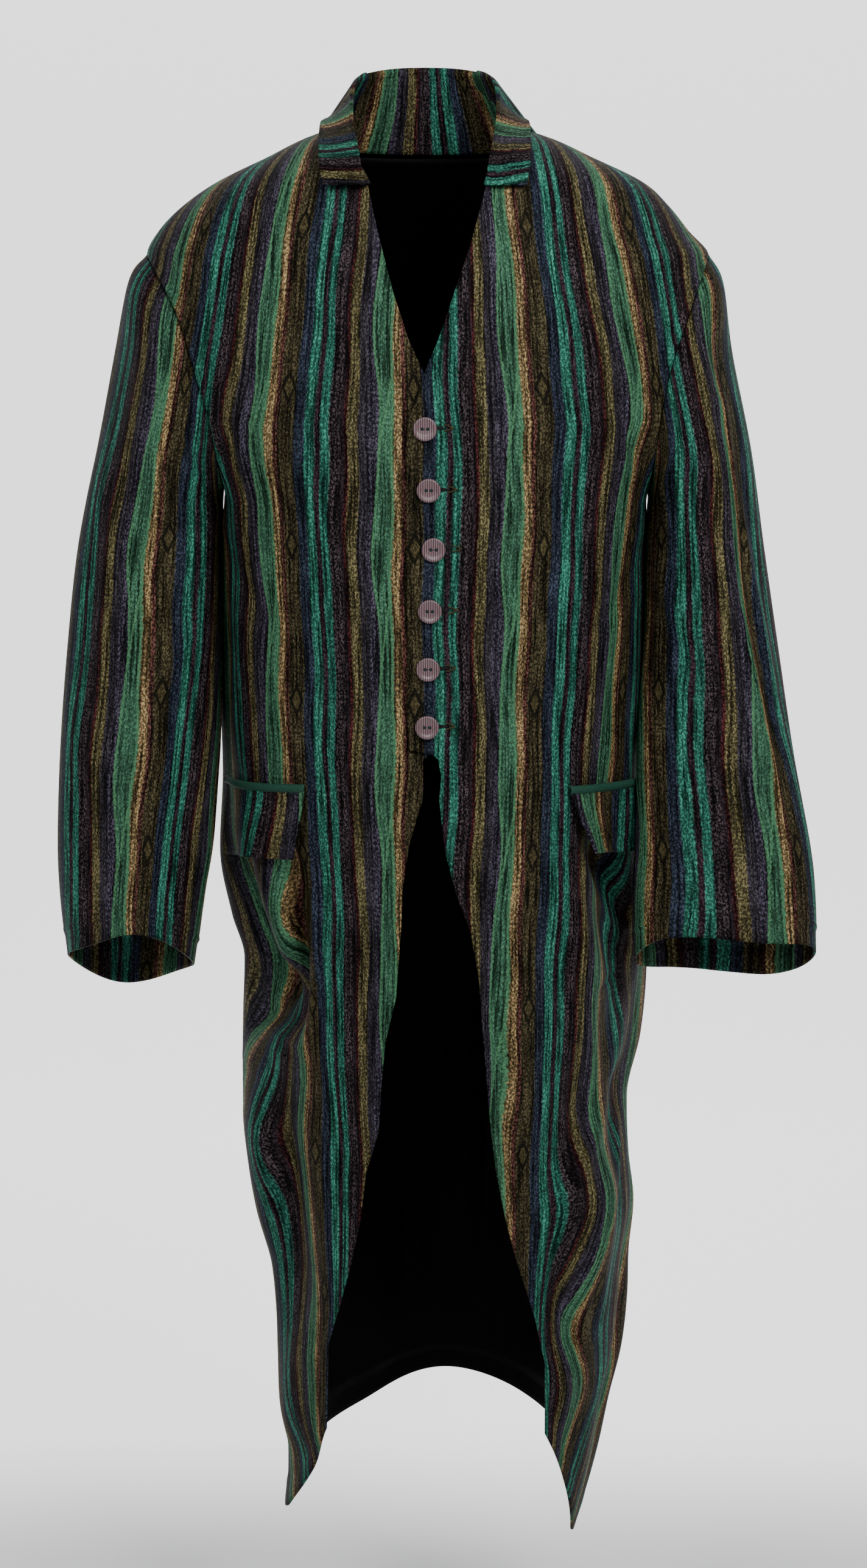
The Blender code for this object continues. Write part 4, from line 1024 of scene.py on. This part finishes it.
def make_pocket(name, row):
    """Piped edge and flap of one pocket."""
    side = row[0]
    top, bottom = np.array(row[1:3]), np.array(row[3:5])
    low = top - WELT_HEIGHT
    point, normal, out, down, along = pocket_surface(row, top, low, POCKET_RISE, POCKET_RISE, 14, 60, 0.0)
    roll = WELT_ROLL * np.sin(math.pi * down) ** 0.6
    points = point + (out + roll)[..., None] * normal
    uv = np.stack([along * 0.08 + 0 * down, down * WELT_HEIGHT + 0 * along], -1)
    welt = cloth_object("cloth_welt_" + name, points, uv, "piping", "piping", flip=(side == "under"))
    stands_for(welt, "piping", "welt_" + name)
    point, normal, out, down, along = pocket_surface(
        row, low - FLAP_SEAM, bottom, POCKET_RISE, FLAP_LIFT, 48, 60, 1.0)
    wave = 0.0011 * np.sin(along * 7 + 1) * ease(down) + 0.0006 * soft_waves(along * 0.1, down * 0.06, 41)
    ends = np.maximum(1 - ease((along - 0.03) / 0.04), ease((along - 0.93) / 0.04))
    rim = HEM_FOLD * np.maximum(ease((down - 0.90) / 0.05), ends)
    rim = rim + FLAP_CURL * np.exp(-(along / 0.035) ** 2) * down
    points = point + (out + wave + rim)[..., None] * normal
    across = abs(length_round(point, float(point[0, 0, 0]))) * (1 if side == "over" else -1)
    uv = np.stack([across + FLAP_STARTS[name], point[..., 2]], -1)
    flap = cloth_object("cloth_flap_" + name, points, uv, "stripe cloth", "stripe cloth",
                        flip=(side == "under"))
    stands_for(flap, "stripe_cloth", "flap_" + name)
    return cloth_area(points)


for name, row in POCKETS.items():
    print("flap", name, "area", round(make_pocket(name, row), 4), "square metres")

# %% [markdown]
# ## Buttons and buttonholes
# The six buttons are round, pale pinkish mauve, with a raised rim, a dished face cut in fine upright
# ribs and two small holes with dark thread between them. The light and shade of the ribs is also
# painted into their colour as light and dark upright stripes. A turned shape is a profile carried round
# an axis. Beside each button its hole shows as a slit of painted dark shade that narrows away from it,
# with olive stitches round the far end.

# %% A button's shape
BUTTON_DIAMETER, BUTTON_THICKNESS = 0.0205, 0.0036
BUTTONS = ((-0.0017, -0.2367), (0.0014, -0.2884), (0.0055, -0.3388), (0.0024, -0.3915),
           (0.0008, -0.4414), (0.0000, -0.4916))
HOLE_APART, HOLE_RADIUS, HOLE_DEPTH = 0.0046, 0.0012, 0.0016
RIB_PITCH, RIB_HEIGHT = 0.0019, 0.00018
BUTTON_SEAT = 0.0012     # from the front's surface to the button's back
THREAD_RADIUS = 0.00014


def button_profile():
    """Radius and height of the button's section, from its middle over the rim to its back."""
    radius, thick = BUTTON_DIAMETER / 2, BUTTON_THICKNESS
    steps = ((0.0, 0.62), (0.15, 0.62), (0.30, 0.63), (0.45, 0.66), (0.58, 0.72), (0.68, 0.84), (0.76, 0.95),
             (0.84, 1.0), (0.91, 0.97), (0.96, 0.88), (0.99, 0.74), (1.0, 0.56), (0.99, 0.36), (0.95, 0.16),
             (0.88, 0.03), (0.80, 0.0))
    return np.array(steps) * (radius, thick)


def button_points():
    """Rings r * (cos, sin) of the profile, with ribs and two holes pressed into the face."""
    profile = curve_through(np.arange(16), button_profile(), np.linspace(0, 15, 61))
    turn = np.linspace(0, 2 * math.pi, 96, endpoint=False)
    radius, height = profile[:, 0, None], profile[:, 1, None]
    x, y = radius * np.cos(turn), radius * np.sin(turn)
    face = ease((BUTTON_DIAMETER / 2 * 0.95 - radius) / 0.0006) * (height > BUTTON_THICKNESS / 2)
    ribs = RIB_HEIGHT * np.cos(2 * math.pi * x / RIB_PITCH) * face
    holes = sum(1 - ease((np.hypot(x - s * HOLE_APART / 2, y) - HOLE_RADIUS) / 0.0003) for s in (-1, 1))
    return np.stack([x, y, height + ribs - HOLE_DEPTH * holes * (height > 0.001)], -1)


print("button", BUTTON_DIAMETER * 1000, "mm across")

# %% Place the buttons, their thread and their holes


def spot_frame(x, z):
    """Middle, right, up and out directions on the upper front at x and z."""
    place = place_of("over", np.array(x), np.array(z))
    point, out = body_frame("over", False, place, np.array(z))
    right = unit(np.cross(np.array([0, 0, 1.0]), out))
    right = right if right[0] > 0 else -right
    return point, right, unit(np.cross(out, right)) * (1 if np.cross(out, right)[2] > 0 else -1), out


def tube(path, radius, sides=6):
    """Points of a tube: circles of a radius, which may change, across a path."""
    along = unit(np.gradient(path, axis=0))
    helper = np.array([0.0, -1.0, 0.1])
    one = unit(np.cross(along, helper))
    two = np.cross(one, along)
    turn = np.linspace(0, 2 * math.pi, sides, endpoint=False)[None, :, None]
    radius = np.broadcast_to(np.asarray(radius, float), (len(path),))[:, None, None]
    return path[:, None] + radius * (np.cos(turn) * one[:, None] + np.sin(turn) * two[:, None])


def joined(parts):
    """Points and faces of several closed tubes as one set, with a cap at each end."""
    all_points, all_faces, start = [], [], 0
    for points in parts:
        rows, columns = points.shape[:2]
        ends = np.stack([points[0].mean(axis=0), points[-1].mean(axis=0)])
        faces = grid_faces(rows, columns, closed=True)
        ring = np.arange(columns)
        onward = np.roll(ring, -1)
        low = np.stack([np.full(columns, rows * columns), onward, ring, ring], -1)
        last = (rows - 1) * columns
        tip = np.full(columns, rows * columns + 1)
        high = np.stack([tip, last + ring, last + onward, last + onward], -1)
        all_faces += [face + start for face in (faces, low, high)]
        all_points += [points.reshape(-1, 3), ends]
        start += rows * columns + 2
    return np.concatenate(all_points), np.concatenate(all_faces)


def tube_object(name, parts, materials):
    """Object of joined tubes. The caps' doubled corners become triangles."""
    points, faces = joined(parts)
    faces = [face[:3] if face[2] == face[3] else face for face in faces.tolist()]
    mesh = bpy.data.meshes.new(name)
    mesh.from_pydata(points.tolist(), [], faces)
    mesh.shade_smooth()
    for each in materials:
        mesh.materials.append(material(each))
    obj = bpy.data.objects.new(name, mesh)
    bpy.context.scene.collection.objects.link(obj)
    return obj


def make_button(number, x, z):
    """One button on the upper front, with its thread."""
    middle, right, up, out = spot_frame(x, z)
    local = button_points()
    seat = middle + out * BUTTON_SEAT
    points = seat + local[..., :1] * right + local[..., 1:2] * up + local[..., 2:] * out
    flat = local[..., :2] + np.array([number * 0.4, 0.0])
    faces = grid_faces(*points.shape[:2], closed=True)
    obj = new_mesh_object(f"shell_button_{number}", points, faces[:, ::-1], flat, ("button",))
    stands_for(obj, "button_shell", f"button_{number}")
    t = np.linspace(-1, 1, 13)[:, None]
    bar = seat + right * (t * HOLE_APART / 2) + out * (BUTTON_THICKNESS * 0.63 - 0.0006 * t**8)
    threads = [tube(bar, THREAD_RADIUS)]
    for end in (-1, 1):
        rise = BUTTON_THICKNESS * 0.62 - 0.0009 * (1 - t) / 2
        spot = seat + right * (end * HOLE_APART / 2) + out * rise
        threads.append(tube(spot, HOLE_RADIUS * 0.9, sides=10))
    thread = tube_object(f"thread_{number}", threads, ("dark thread",))
    stands_for(thread, "button_shell")


for number, (x, z) in enumerate(BUTTONS, start=1):
    make_button(number, x, z)
print(len(BUTTONS), "buttons, each with its thread")

# %% Buttonholes
HOLE_LENGTH = 0.0155
SLIT_HALF = 0.0022       # half its height at the button
SLIT_RISE = 0.0013       # from the front's surface to the slit and the stitches
STITCHES, STITCH_LENGTH, STITCH_RADIUS, STITCH_BOW = 26, 0.0012, 0.00028, 0.0004


def make_buttonhole(number, x, z):
    """A slit of painted shade that narrows to the right, and stitches across its edge round the far end."""
    middle, right, up, out = spot_frame(x + BUTTON_DIAMETER / 2 + 0.001, z + 0.001)
    t = np.linspace(0, 1, 25)[:, None]
    half = SLIT_HALF * (1 - t**1.3)
    centre = middle + right * (t * HOLE_LENGTH * 0.72 - 0.004) + out * SLIT_RISE
    rows = np.stack([centre - up * half, centre, centre + up * half], axis=1)
    rows[:, 1] += out * 0.0002
    flat = np.concatenate([t, t, t], axis=1)[..., None] * np.array([1.0, 0.0])
    # The slit is a near-black sheet: painted shade inside the buttonhole.
    slit = new_mesh_object(f"slit_{number}", rows, grid_faces(25, 3), flat, ("dark gap",))
    stands_for(slit, "stripe_cloth")
    stitches = []
    for i in range(STITCHES):
        turn = math.pi * (-0.5 + (i + 0.5) / STITCHES)
        tip = HOLE_LENGTH * 0.62
        reach = 0.0012 + 0.0008 * abs(math.sin(turn))
        away = right * math.cos(turn) * 1.6 + up * math.sin(turn)
        base = middle + right * (tip - 0.005 * abs(math.sin(turn))) + out * SLIT_RISE
        near = base + away * reach
        far = base + away * (reach + STITCH_LENGTH)
        s = np.linspace(0, 1, 5)[:, None]
        bow = out * STITCH_BOW * np.sin(math.pi * s)
        stitches.append(tube(near + (far - near) * s + bow, STITCH_RADIUS, sides=5))
    obj = tube_object(f"buttonhole_{number}", stitches, ("olive thread",))
    stands_for(obj, "stripe_cloth")


for number, (x, z) in enumerate(BUTTONS, start=1):
    make_buttonhole(number, x, z)
print(len(BUTTONS), "buttonholes of", STITCHES, "stitches")

# %% [markdown]
# ## The striped cloth
# The stripes are dyed and woven in, so the pattern is a colour that depends only on the place across
# the flat cloth. A slow wave bends all the stripes, and a fine jitter breaks their edges, as the knots
# of a bouclé yarn do. Flecks of a lighter yarn lie over each stripe, more on some than on others, and
# their bright colour also holds the painted sheen of the yarn. Fine lines inside each stripe hold lighter
# and darker yarn and a painted highlight and shade of raised ribs. A small lozenge is woven into the olive
# stripe. The whole effect is one node group, with the repeat as an input, and it puts out a colour and a
# height for the bump.

# %% Stripes of one repeat, with ground and fleck colours
STRIPES = (  # name, share of the repeat, mean colour, contrast of its flecks
    ("olive", 0.135, (0.0270, 0.0225, 0.0115), 0.95),
    ("indigo", 0.090, (0.0125, 0.0160, 0.0250), 0.90),
    ("emerald", 0.080, (0.0180, 0.0930, 0.0640), 0.75),
    ("dark", 0.045, (0.0170, 0.0095, 0.0130), 1.00),
    ("emerald", 0.065, (0.0150, 0.0800, 0.0560), 0.75),
    ("grey plum", 0.085, (0.0190, 0.0140, 0.0160), 1.30),
    ("plum", 0.030, (0.0120, 0.0080, 0.0100), 0.80),
    ("maroon", 0.025, (0.0240, 0.0055, 0.0060), 1.10),
    ("olive gold", 0.080, (0.0560, 0.0480, 0.0220), 0.95),
    ("slate", 0.065, (0.0180, 0.0155, 0.0190), 0.80),
    ("violet slate", 0.060, (0.0250, 0.0215, 0.0310), 1.00),
    ("green", 0.140, (0.0260, 0.0690, 0.0400), 0.60),
    ("tan", 0.065, (0.1250, 0.0860, 0.0390), 0.95),
    ("red", 0.035, (0.0420, 0.0170, 0.0140), 1.10),
)
print(len(STRIPES), "stripes in", REPEAT * 1000, "mm; shares:", round(sum(s[1] for s in STRIPES), 3))

# %% Small helpers for node groups


class Wires:
    """Adds nodes to a tree and joins their sockets. A number or a colour sets a socket's value."""

    def __init__(self, tree):
        self.tree = tree

    def node(self, kind, **settings):
        made = self.tree.nodes.new(kind)
        for key, value in settings.items():
            setattr(made, key, value)
        return made

    def feed(self, socket, value):
        if isinstance(value, bpy.types.NodeSocket):
            self.tree.links.new(value, socket)
        elif value is not None:
            socket.default_value = value

    def math(self, operation, *values):
        made = self.node("ShaderNodeMath", operation=operation)
        for socket, value in zip(made.inputs, values):
            self.feed(socket, value)
        return made.outputs[0]

    def mix(self, factor, one, two, blend="MIX"):
        made = self.node("ShaderNodeMix", data_type="RGBA", blend_type=blend)
        self.feed(made.inputs["Factor"], factor)
        self.feed(made.inputs["A"], one)
        self.feed(made.inputs["B"], two)
        return made.outputs["Result"]

    def noise(self, vector, scale, detail=2.0, roughness=0.5):
        made = self.node("ShaderNodeTexNoise")
        self.feed(made.inputs["Vector"], vector)
        made.inputs["Scale"].default_value = scale
        made.inputs["Detail"].default_value = detail
        made.inputs["Roughness"].default_value = roughness
        return made.outputs["Fac"]

    def scaled(self, across, along, by_across, by_along, z=0.0):
        """A vector of across and along, each multiplied by its own number, and z."""
        made = self.node("ShaderNodeCombineXYZ")
        self.feed(made.inputs["X"], self.math("MULTIPLY", across, by_across))
        self.feed(made.inputs["Y"], self.math("MULTIPLY", along, by_along))
        self.feed(made.inputs["Z"], z)
        return made.outputs[0]

    def ranged(self, value, low, high, to_low=0.0, to_high=1.0, kind="SMOOTHSTEP"):
        """A value between low and high becomes one between to_low and to_high."""
        made = self.node("ShaderNodeMapRange", interpolation_type=kind)
        self.feed(made.inputs["Value"], value)
        limits = {"From Min": low, "From Max": high, "To Min": to_low, "To Max": to_high}
        for label, number in limits.items():
            self.feed(made.inputs[label], number)
        return made.outputs["Result"]

    def split(self, vector):
        """The first two parts of a vector."""
        made = self.node("ShaderNodeSeparateXYZ")
        self.feed(made.inputs[0], vector)
        return made.outputs["X"], made.outputs["Y"]


def new_group(name, inputs, outputs):
    """Empty shader group with named inputs (kind and value) and outputs (kind)."""
    tree = bpy.data.node_groups.new(name, "ShaderNodeTree")
    for label, kind, value in inputs:
        socket = tree.interface.new_socket(name=label, in_out="INPUT", socket_type=kind)
        if value is not None:
            socket.default_value = value
    for label, kind in outputs:
        tree.interface.new_socket(name=label, in_out="OUTPUT", socket_type=kind)
    wires = Wires(tree)
    return tree, wires, wires.node("NodeGroupInput").outputs, wires.node("NodeGroupOutput").inputs


def stripe_ramp(wires, factor, column, soft=0.006):
    """Colour ramp over one repeat, soft between the stripes.

    The ground is mean * (1 - 0.62 contrast), and a fleck is mean * (1 + 1.05 contrast).
    """
    made = wires.node("ShaderNodeValToRGB")
    stops = made.color_ramp.elements
    edge, places = 0.0, []
    for _, share, mean, contrast in STRIPES:
        gain = 1 - 0.62 * contrast if column == "ground" else 1 + 1.05 * contrast
        colour = (*(gain * np.array(mean)), 1.0)
        places += [(edge + soft, colour), (edge + share - soft, colour)]
        edge += share
    stops[0].position, stops[0].color = places[0][0] / edge, places[0][1]
    stops[1].position, stops[1].color = places[-1][0] / edge, places[-1][1]
    for place, colour in places[1:-1]:
        stop = stops.new(place / edge)
        stop.color = colour
    wires.feed(made.inputs["Fac"], factor)
    return made.outputs["Color"]


print("helpers ready")

# %% The weave group
SWELL_LENGTH, SWELL_REACH = 0.19, 0.030      # how far apart the green stripe swells, and by what share
GREEN_START, GREEN_END, SWELL_MIDDLE, SWELL_WIDTH = 0.773, 0.889, 0.77, 0.045
OLIVE_MIDDLE, LOZENGE_APART = 0.0675, 0.135
LOZENGE_HALF_WIDTH, LOZENGE_HALF_HEIGHT = 0.056, 0.100   # shares of the repeat and of the way apart
PICK_PITCH, WARP_PITCH = 0.0011, 0.0009      # metres between two threads
FEATHER_COLOUR, HEART_COLOUR = (0.080, 0.215, 0.105, 1.0), (0.085, 0.068, 0.030, 1.0)
RING_COLOUR = (0.004, 0.004, 0.003, 1.0)


def build_weave():
    """Stripes, flecks, lozenges and a bump height from a flat place in metres.

    place = (across + slow wave + fine jitter) / repeat, and the part after the point picks the colour.
    """
    tree, wires, given, put = new_group(
        "woven stripes",
        (("Flat Place", "NodeSocketVector", None), ("Repeat", "NodeSocketFloat", REPEAT),
         ("Wave", "NodeSocketFloat", 0.0015), ("Jitter", "NodeSocketFloat", 0.0017),
         ("Fleck", "NodeSocketFloat", 1.0)),
        (("Color", "NodeSocketColor"), ("Height", "NodeSocketFloat"), ("Fleck Mask", "NodeSocketFloat")))
    across, along = wires.split(given["Flat Place"])
    phase = wires.math("MULTIPLY", across, 21.0)
    long_wave = wires.math("SINE", wires.math("ADD", wires.math("MULTIPLY", along, 29.0), phase))
    phase_two = wires.math("MULTIPLY", across, 55.0)
    short_wave = wires.math("SINE", wires.math("ADD", wires.math("MULTIPLY", along, 63.0), phase_two))
    wave = wires.math("ADD", long_wave, wires.math("MULTIPLY", short_wave, 0.45))
    drift = wires.math("SUBTRACT", wires.noise(wires.scaled(across, along, 16.0, 7.0), 1.0, 1.0), 0.5)
    wave = wires.math("ADD", wave, wires.math("MULTIPLY", drift, 4.2))
    grain = wires.scaled(across, along, 420.0, 260.0)
    rough = wires.math("SUBTRACT", wires.noise(grain, 1.0, 2.0, 0.6), 0.5)
    shift = wires.math("ADD", wires.math("MULTIPLY", wave, given["Wave"]),
                       wires.math("MULTIPLY", wires.math("MULTIPLY", rough, 2.0), given["Jitter"]))
    place = wires.math("DIVIDE", wires.math("ADD", across, shift), given["Repeat"])
    share = wires.math("FRACT", place)
    border = wires.math("DIVIDE", wires.math("SUBTRACT", share, SWELL_MIDDLE), SWELL_WIDTH)
    border = wires.math("EXPONENT", wires.math("MULTIPLY", wires.math("MULTIPLY", border, border), -1.0))
    swell = wires.math("SINE", wires.math("MULTIPLY", along, 2 * math.pi / SWELL_LENGTH))
    swell = wires.math("MULTIPLY", swell, SWELL_REACH)
    share = wires.math("ADD", share, wires.math("MULTIPLY", border, swell))
    ground = stripe_ramp(wires, share, "ground")
    # The bright colour of the flecks is lighter yarn and also the painted sheen of the yarn.
    fleck_and_sheen_colour = stripe_ramp(wires, share, "fleck")
    # Flecks are longer along the warp than across it, and denser in some places than in others.
    fleck = wires.noise(wires.scaled(across, along, 640.0, 400.0, 3.0), 1.0, 2.0, 0.7)
    patch = wires.noise(wires.scaled(across, along, 120.0, 60.0, 7.0), 1.0, 1.0)
    above = wires.math("SUBTRACT", fleck, wires.math("MULTIPLY_ADD", patch, 0.16, 0.435))
    mask = wires.ranged(above, -0.04, 0.05, to_high=given["Fleck"])
    colour = wires.mix(mask, ground, fleck_and_sheen_colour)
    # Fine lines of lighter and darker warp yarn inside each stripe.
    # Their strong contrast also paints the highlight and shade of raised ribs.
    warp_place = wires.math("ADD", across, shift)
    fine = wires.noise(wires.scaled(warp_place, along, 430.0, 15.0, 11.0), 1.0, 2.0, 0.6)
    gain = wires.ranged(fine, 0.38, 0.62, 0.22, 1.95, kind="LINEAR")
    colour = wires.mix(1.0, colour, gain, "MULTIPLY")
    # Feathered pale lines along both edges of the green stripe, and one that sweeps across it.
    cycle = wires.math("FRACT", wires.math("DIVIDE", along, -SWELL_LENGTH))
    sweep = wires.math("SMOOTH_MIN", wires.math("MULTIPLY", cycle, 0.34), GREEN_END - GREEN_START, 0.02)
    feather = None
    for at in (GREEN_START, GREEN_END, wires.math("SUBTRACT", GREEN_END, sweep)):
        line = wires.math("ABSOLUTE", wires.math("SUBTRACT", share, at))
        found = wires.ranged(wires.math("ADD", line, wires.math("MULTIPLY", rough, 0.014)), 0.016, 0.005)
        feather = found if feather is None else wires.math("MAXIMUM", feather, found)
    feather = wires.math("MULTIPLY", feather, wires.math("MULTIPLY_ADD", mask, 0.55, 0.40))
    colour = wires.mix(feather, colour, FEATHER_COLOUR)
    # A lozenge in the olive stripe, level in every repeat.
    dx = wires.math("ABSOLUTE", wires.math("SUBTRACT", share, OLIVE_MIDDLE))
    dx = wires.math("DIVIDE", dx, LOZENGE_HALF_WIDTH)
    cell = wires.math("SUBTRACT", wires.math("FRACT", wires.math("DIVIDE", along, LOZENGE_APART)), 0.5)
    dz = wires.math("DIVIDE", wires.math("ABSOLUTE", cell), LOZENGE_HALF_HEIGHT)
    radius = wires.math("ADD", dx, dz)
    ring = wires.ranged(wires.math("ABSOLUTE", wires.math("SUBTRACT", radius, 0.9)), 0.30, 0.16)
    inside = wires.math("LESS_THAN", radius, 0.75)
    heart = wires.math("MULTIPLY", inside, wires.math("MULTIPLY_ADD", mask, 0.5, 0.2))
    colour = wires.mix(heart, colour, HEART_COLOUR)
    colour = wires.mix(wires.math("MULTIPLY", ring, 0.85), colour, RING_COLOUR)
    wires.feed(put["Color"], colour)
    wires.feed(put["Fleck Mask"], mask)
    # The bump: threads of the weave, flecks that stand up, and a wider pucker.
    pick = wires.math("SINE", wires.math("MULTIPLY", along, 2 * math.pi / PICK_PITCH))
    warp = wires.math("SINE", wires.math("MULTIPLY", across, 2 * math.pi / WARP_PITCH))
    weave = wires.math("MULTIPLY", wires.math("ADD", pick, warp), 0.12)
    pucker = wires.noise(wires.scaled(across, along, 75.0, 110.0, 5.0), 1.0, 3.0, 0.6)
    height = wires.math("ADD", wires.math("MULTIPLY", mask, 0.7), wires.math("ADD", weave, fleck))
    height = wires.math("ADD", height, wires.math("MULTIPLY", pucker, 4.0))
    wires.feed(put["Height"], height)
    return tree


WEAVE = build_weave()
print("weave group:", len(WEAVE.nodes), "nodes")

# %% [markdown]
# ## Putting the finishes on
# Each material keeps its own Principled shader. The cloth is fairly rough and hardly glossy: the sheen
# of the mixed yarn is painted into the bright colours of its flecks. Values that are the same all over
# are set on the shader itself. The weave group feeds only the colour and the bump.

# %% Materials


def principled(name, roughness, specular=0.25, coat=0.0):
    """The material's wires and its shader, with its constant values set on the shader's sockets."""
    made = material(name)
    shader = made.node_tree.nodes["Principled BSDF"]
    shader.inputs["Roughness"].default_value = roughness
    shader.inputs["Specular IOR Level"].default_value = specular
    shader.inputs["Coat Weight"].default_value = coat
    return Wires(made.node_tree), shader


def bumped(wires, shader, height, strength, distance):
    """A Bump node from height to the shader's normal."""
    bump = wires.node("ShaderNodeBump")
    bump.inputs["Strength"].default_value = strength
    bump.inputs["Distance"].default_value = distance
    wires.feed(bump.inputs["Height"], height)
    wires.feed(shader.inputs["Normal"], bump.outputs["Normal"])


def flat_place(wires):
    """The flat place of the cloth, from the UV map."""
    return wires.node("ShaderNodeUVMap", uv_map="cloth").outputs["UV"]


wires, shader = principled("stripe cloth", 0.62, specular=0.035)
group = wires.node("ShaderNodeGroup", node_tree=WEAVE)
wires.feed(group.inputs["Flat Place"], flat_place(wires))
wires.feed(shader.inputs["Base Color"], group.outputs["Color"])
bumped(wires, shader, group.outputs["Height"], 0.55, 0.0005)

wires, shader = principled("lining", 0.55, specular=0.04)
streaks = wires.noise(wires.scaled(*wires.split(flat_place(wires)), 130.0, 3.0), 1.0, 3.0)
black = wires.mix(streaks, (0.0003, 0.0003, 0.0005, 1.0), (0.0018, 0.0018, 0.0026, 1.0))
wires.feed(shader.inputs["Base Color"], black)
bumped(wires, shader, streaks, 0.4, 0.0008)

wires, shader = principled("piping", 0.7, specular=0.2)
speck = wires.noise(wires.scaled(*wires.split(flat_place(wires)), 900.0, 1400.0), 1.0, 2.0)
green = wires.mix(speck, (0.003, 0.012, 0.008, 1.0), (0.020, 0.088, 0.056, 1.0))
wires.feed(shader.inputs["Base Color"], green)
bumped(wires, shader, speck, 0.6, 0.0005)

wires, shader = principled("button", 0.38, specular=0.4, coat=0.15)
across, along = wires.split(flat_place(wires))
# Light and dark upright stripes in step with the ribs are the painted light and shade of the ribs.
rib = wires.math("COSINE", wires.math("MULTIPLY", across, 2 * math.pi / RIB_PITCH))
rib = wires.math("MULTIPLY_ADD", rib, 0.5, 0.5)
cloud = wires.noise(wires.scaled(across, along, 420.0, 90.0), 1.0, 3.0)
mauve_and_rib_shade = wires.mix(rib, (0.026, 0.010, 0.014, 1.0), (0.260, 0.165, 0.180, 1.0))
mauve_and_rib_shade = wires.mix(wires.math("MULTIPLY", cloud, 0.4), mauve_and_rib_shade, (0.090, 0.055, 0.062, 1.0))
wires.feed(shader.inputs["Base Color"], mauve_and_rib_shade)
bumped(wires, shader, rib, 0.25, 0.0002)

# The near-black colour of the buttonhole slits is painted shade.
for name, colour in (("dark thread", (0.010, 0.035, 0.034)), ("olive thread", (0.050, 0.042, 0.013)),
                     ("dark gap", (0.002, 0.002, 0.002))):
    wires, shader = principled(name, 0.75)
    twist = wires.noise(wires.node("ShaderNodeTexCoord").outputs["Object"], 1800.0, 1.0)
    dark = tuple(c * 0.6 for c in colour) + (1.0,)
    wires.feed(shader.inputs["Base Color"], wires.mix(twist, dark, (*colour, 1.0)))
print(len(MATERIALS), "materials")

# %% [markdown]
# ## The room
# A pale floor below the hem runs up behind the jacket in one curve, so that no corner shows. Behind the
# jacket the paper glows, as one lit from behind does, and in front of it the glow fades out, so that it
# doesn't light the skirt from below. It is staging and not part of the object.

# %% Floor
FLOOR_Z = -1.42
PAPER_GLOW = 1.25        # the paper behind the jacket is lit from behind, as a light table is
GLOW_FROM, GLOW_FULL = 0.25, 0.75   # y in metres
t = np.linspace(0, 1, 60)[:, None]
s = np.linspace(-6, 6, 3)[None, :]
bend = np.clip((t - 0.5) / 0.2, 0, 1) * math.pi / 2
depth = np.where(t < 0.5, -4.5 + 13.0 * t, 2.0 + 1.6 * np.sin(bend))
height = np.where(t < 0.5, FLOOR_Z, FLOOR_Z + 1.6 * (1 - np.cos(bend)) + np.clip(t - 0.7, 0, 1) * 14)
sweep = np.stack([s + 0 * t, depth + 0 * s, height + 0 * s], -1)
floor = new_mesh_object("studio_floor", sweep, grid_faces(60, 3), sweep[..., :2], ("studio paper",))
wires, shader = principled("studio paper", 0.9)
shader.inputs["Base Color"].default_value = (0.86, 0.86, 0.86, 1.0)
shader.inputs["Emission Color"].default_value = (1.0, 1.0, 1.0, 1.0)
_, depth_place = wires.split(wires.node("ShaderNodeTexCoord").outputs["Object"])
glow = wires.ranged(depth_place, GLOW_FROM, GLOW_FULL, to_high=PAPER_GLOW)
wires.feed(shader.inputs["Emission Strength"], glow)
print("floor at", FLOOR_Z, "m")
